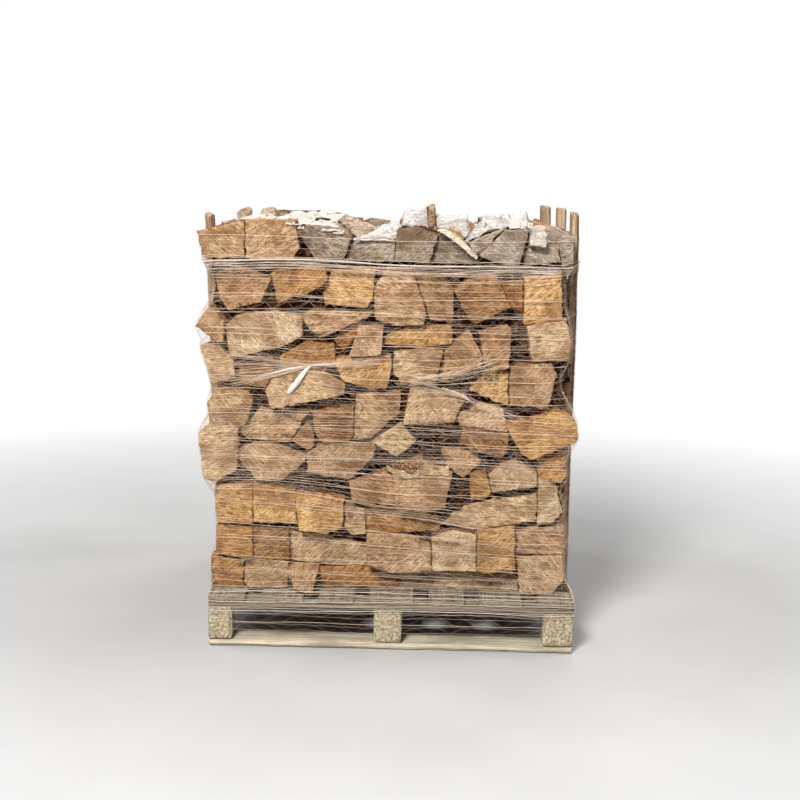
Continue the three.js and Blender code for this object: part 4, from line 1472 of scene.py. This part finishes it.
def add_bunches():
    """Slack netting left on the top of the load: crumpled patches, and loose strands at the edges."""
    cloth = Gather()
    for i, (centre, size, turn, rise, folds) in enumerate(CRUMPLES):
        add_crumple(cloth, 300 + 11 * i, centre, size, turn, rise, folds)
    cloth.piece("net_crumples", "netting", ("slack",))
    rng = np.random.default_rng(5)
    strands = Gather()
    for centre, size, threads, folds in CRUMBS:
        add_bunch(strands, rng, np.array(centre), np.array(size), threads, folds)
    for centre, size, turn, rise, folds in CRUMPLES:
        place = np.array(centre) + (0, 0, 0.012)
        add_bunch(strands, rng, place, np.array(size) * (0.5, 0.5, 0.6), 8, 2.4)
    strands.piece("net_strands", "netting", ("gathered",))


add_gathers()
add_rolls()
add_rope()
add_bunches()
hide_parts("netting")

# ---------------------------------------------------------------------------------------------
# Light and floor.


def stage_mesh(name, places, faces, material, unlit):
    """A piece of the studio. An unlit one glows for the camera alone and casts no light."""
    mesh = bpy.data.meshes.new(name)
    mesh.from_pydata(places, [], faces)
    mesh.materials.append(material)
    thing = bpy.data.objects.new(name, mesh)
    if unlit:
        thing.visible_diffuse = thing.visible_glossy = thing.visible_transmission = False
        thing.visible_shadow = False
    bpy.context.scene.collection.objects.link(thing)


STUDIO_SIDES = 64
STUDIO_RADIUS = 12.5


def glowing(name):
    """A material that is plain white light, with no shading of its own."""
    nodes = Nodes(name)
    for key, value in (
        ("Base Color", (0, 0, 0, 1)),
        ("Specular IOR Level", 0),
        ("Emission Color", (1, 1, 1, 1)),
        ("Emission Strength", 1.0),
    ):
        nodes.shader.inputs[key].default_value = value
    return nodes


def circle_at(radius, height):
    angle = np.linspace(0, 2 * math.pi, STUDIO_SIDES, endpoint=False)
    return [(radius * math.cos(a), radius * math.sin(a), height) for a in angle]


def add_studio():
    """A pale floor that fades into a plain white surround."""
    n = Nodes("floor_paint")
    shade = n.ramp(n.noise(n.position(), 2.0, 2.0), (0.3, 0.51), (0.7, 0.55))
    paint = n.finish(shade, n.noise(n.position(), 60.0), 0.9, 0.05, 0.001, 0.2)
    half, sunk = 13.0, -0.0005
    corners = [(-half, -half, sunk), (half, -half, sunk), (half, half, sunk), (-half, half, sunk)]
    stage_mesh("floor", corners, [(0, 1, 2, 3)], paint, False)
    rings = [
        circle_at(STUDIO_RADIUS * math.cos(a), STUDIO_RADIUS * math.sin(a)) for a in np.linspace(0, 1.5, 12)
    ]
    dome = [*tube_faces(len(rings), STUDIO_SIDES), ring_face(len(rings) - 1, STUDIO_SIDES)]
    white = glowing("surround_white").material
    stage_mesh("surround", [p for ring in rings for p in ring], dome, white, True)
    fade = glowing("floor_fade")
    x, y, _ = fade.split(fade.position())
    away = fade.vector("LENGTH", fade.join(x, y, 0.0), None)
    fade.put(fade.shader.inputs["Alpha"], fade.math("MULTIPLY_ADD", away, 0.5, -0.6, clamp=True))
    ring = circle_at(1.1, 0.0002) + circle_at(STUDIO_RADIUS + 0.1, 0.0002)
    stage_mesh("floor_fade", ring, tube_faces(2, STUDIO_SIDES), fade.material, True)


LIT_MIDDLE = Vector((0, 0, 0.6))


def add_area(name, place, size, power, colour):
    """A round soft light, aimed at the middle of the load."""
    data = bpy.data.lights.new(name, "AREA")
    data.shape = "DISK"
    data.size = size
    data.energy = power
    data.color = colour
    lamp = bpy.data.objects.new(name, data)
    lamp.location = place
    lamp.rotation_euler = (LIT_MIDDLE - Vector(place)).to_track_quat("-Z", "Y").to_euler()
    bpy.context.scene.collection.objects.link(lamp)


def add_light():
    add_area("sky_front", (-1.2, -4.6, 4.2), 1.5, 428, (1.0, 0.985, 0.96))
    add_area("sky_left", (-3.2, 0.5, 4.8), 2.5, 75, (0.96, 0.98, 1.0))
    add_area("sky_right", (3.2, 0.5, 4.8), 2.5, 95, (1.0, 0.99, 0.97))
    add_area("sky_back", (1.0, 3.6, 5.0), 2.5, 110, (1.0, 1.0, 1.0))
    world = bpy.data.worlds.new("studio")
    world.use_nodes = True
    background = world.node_tree.nodes["Background"]
    background.inputs["Color"].default_value = (1.0, 1.0, 1.0, 1)
    background.inputs["Strength"].default_value = 0.09
    bpy.context.scene.world = world
    bpy.context.scene.view_settings.view_transform = "Standard"


add_studio()
add_light()
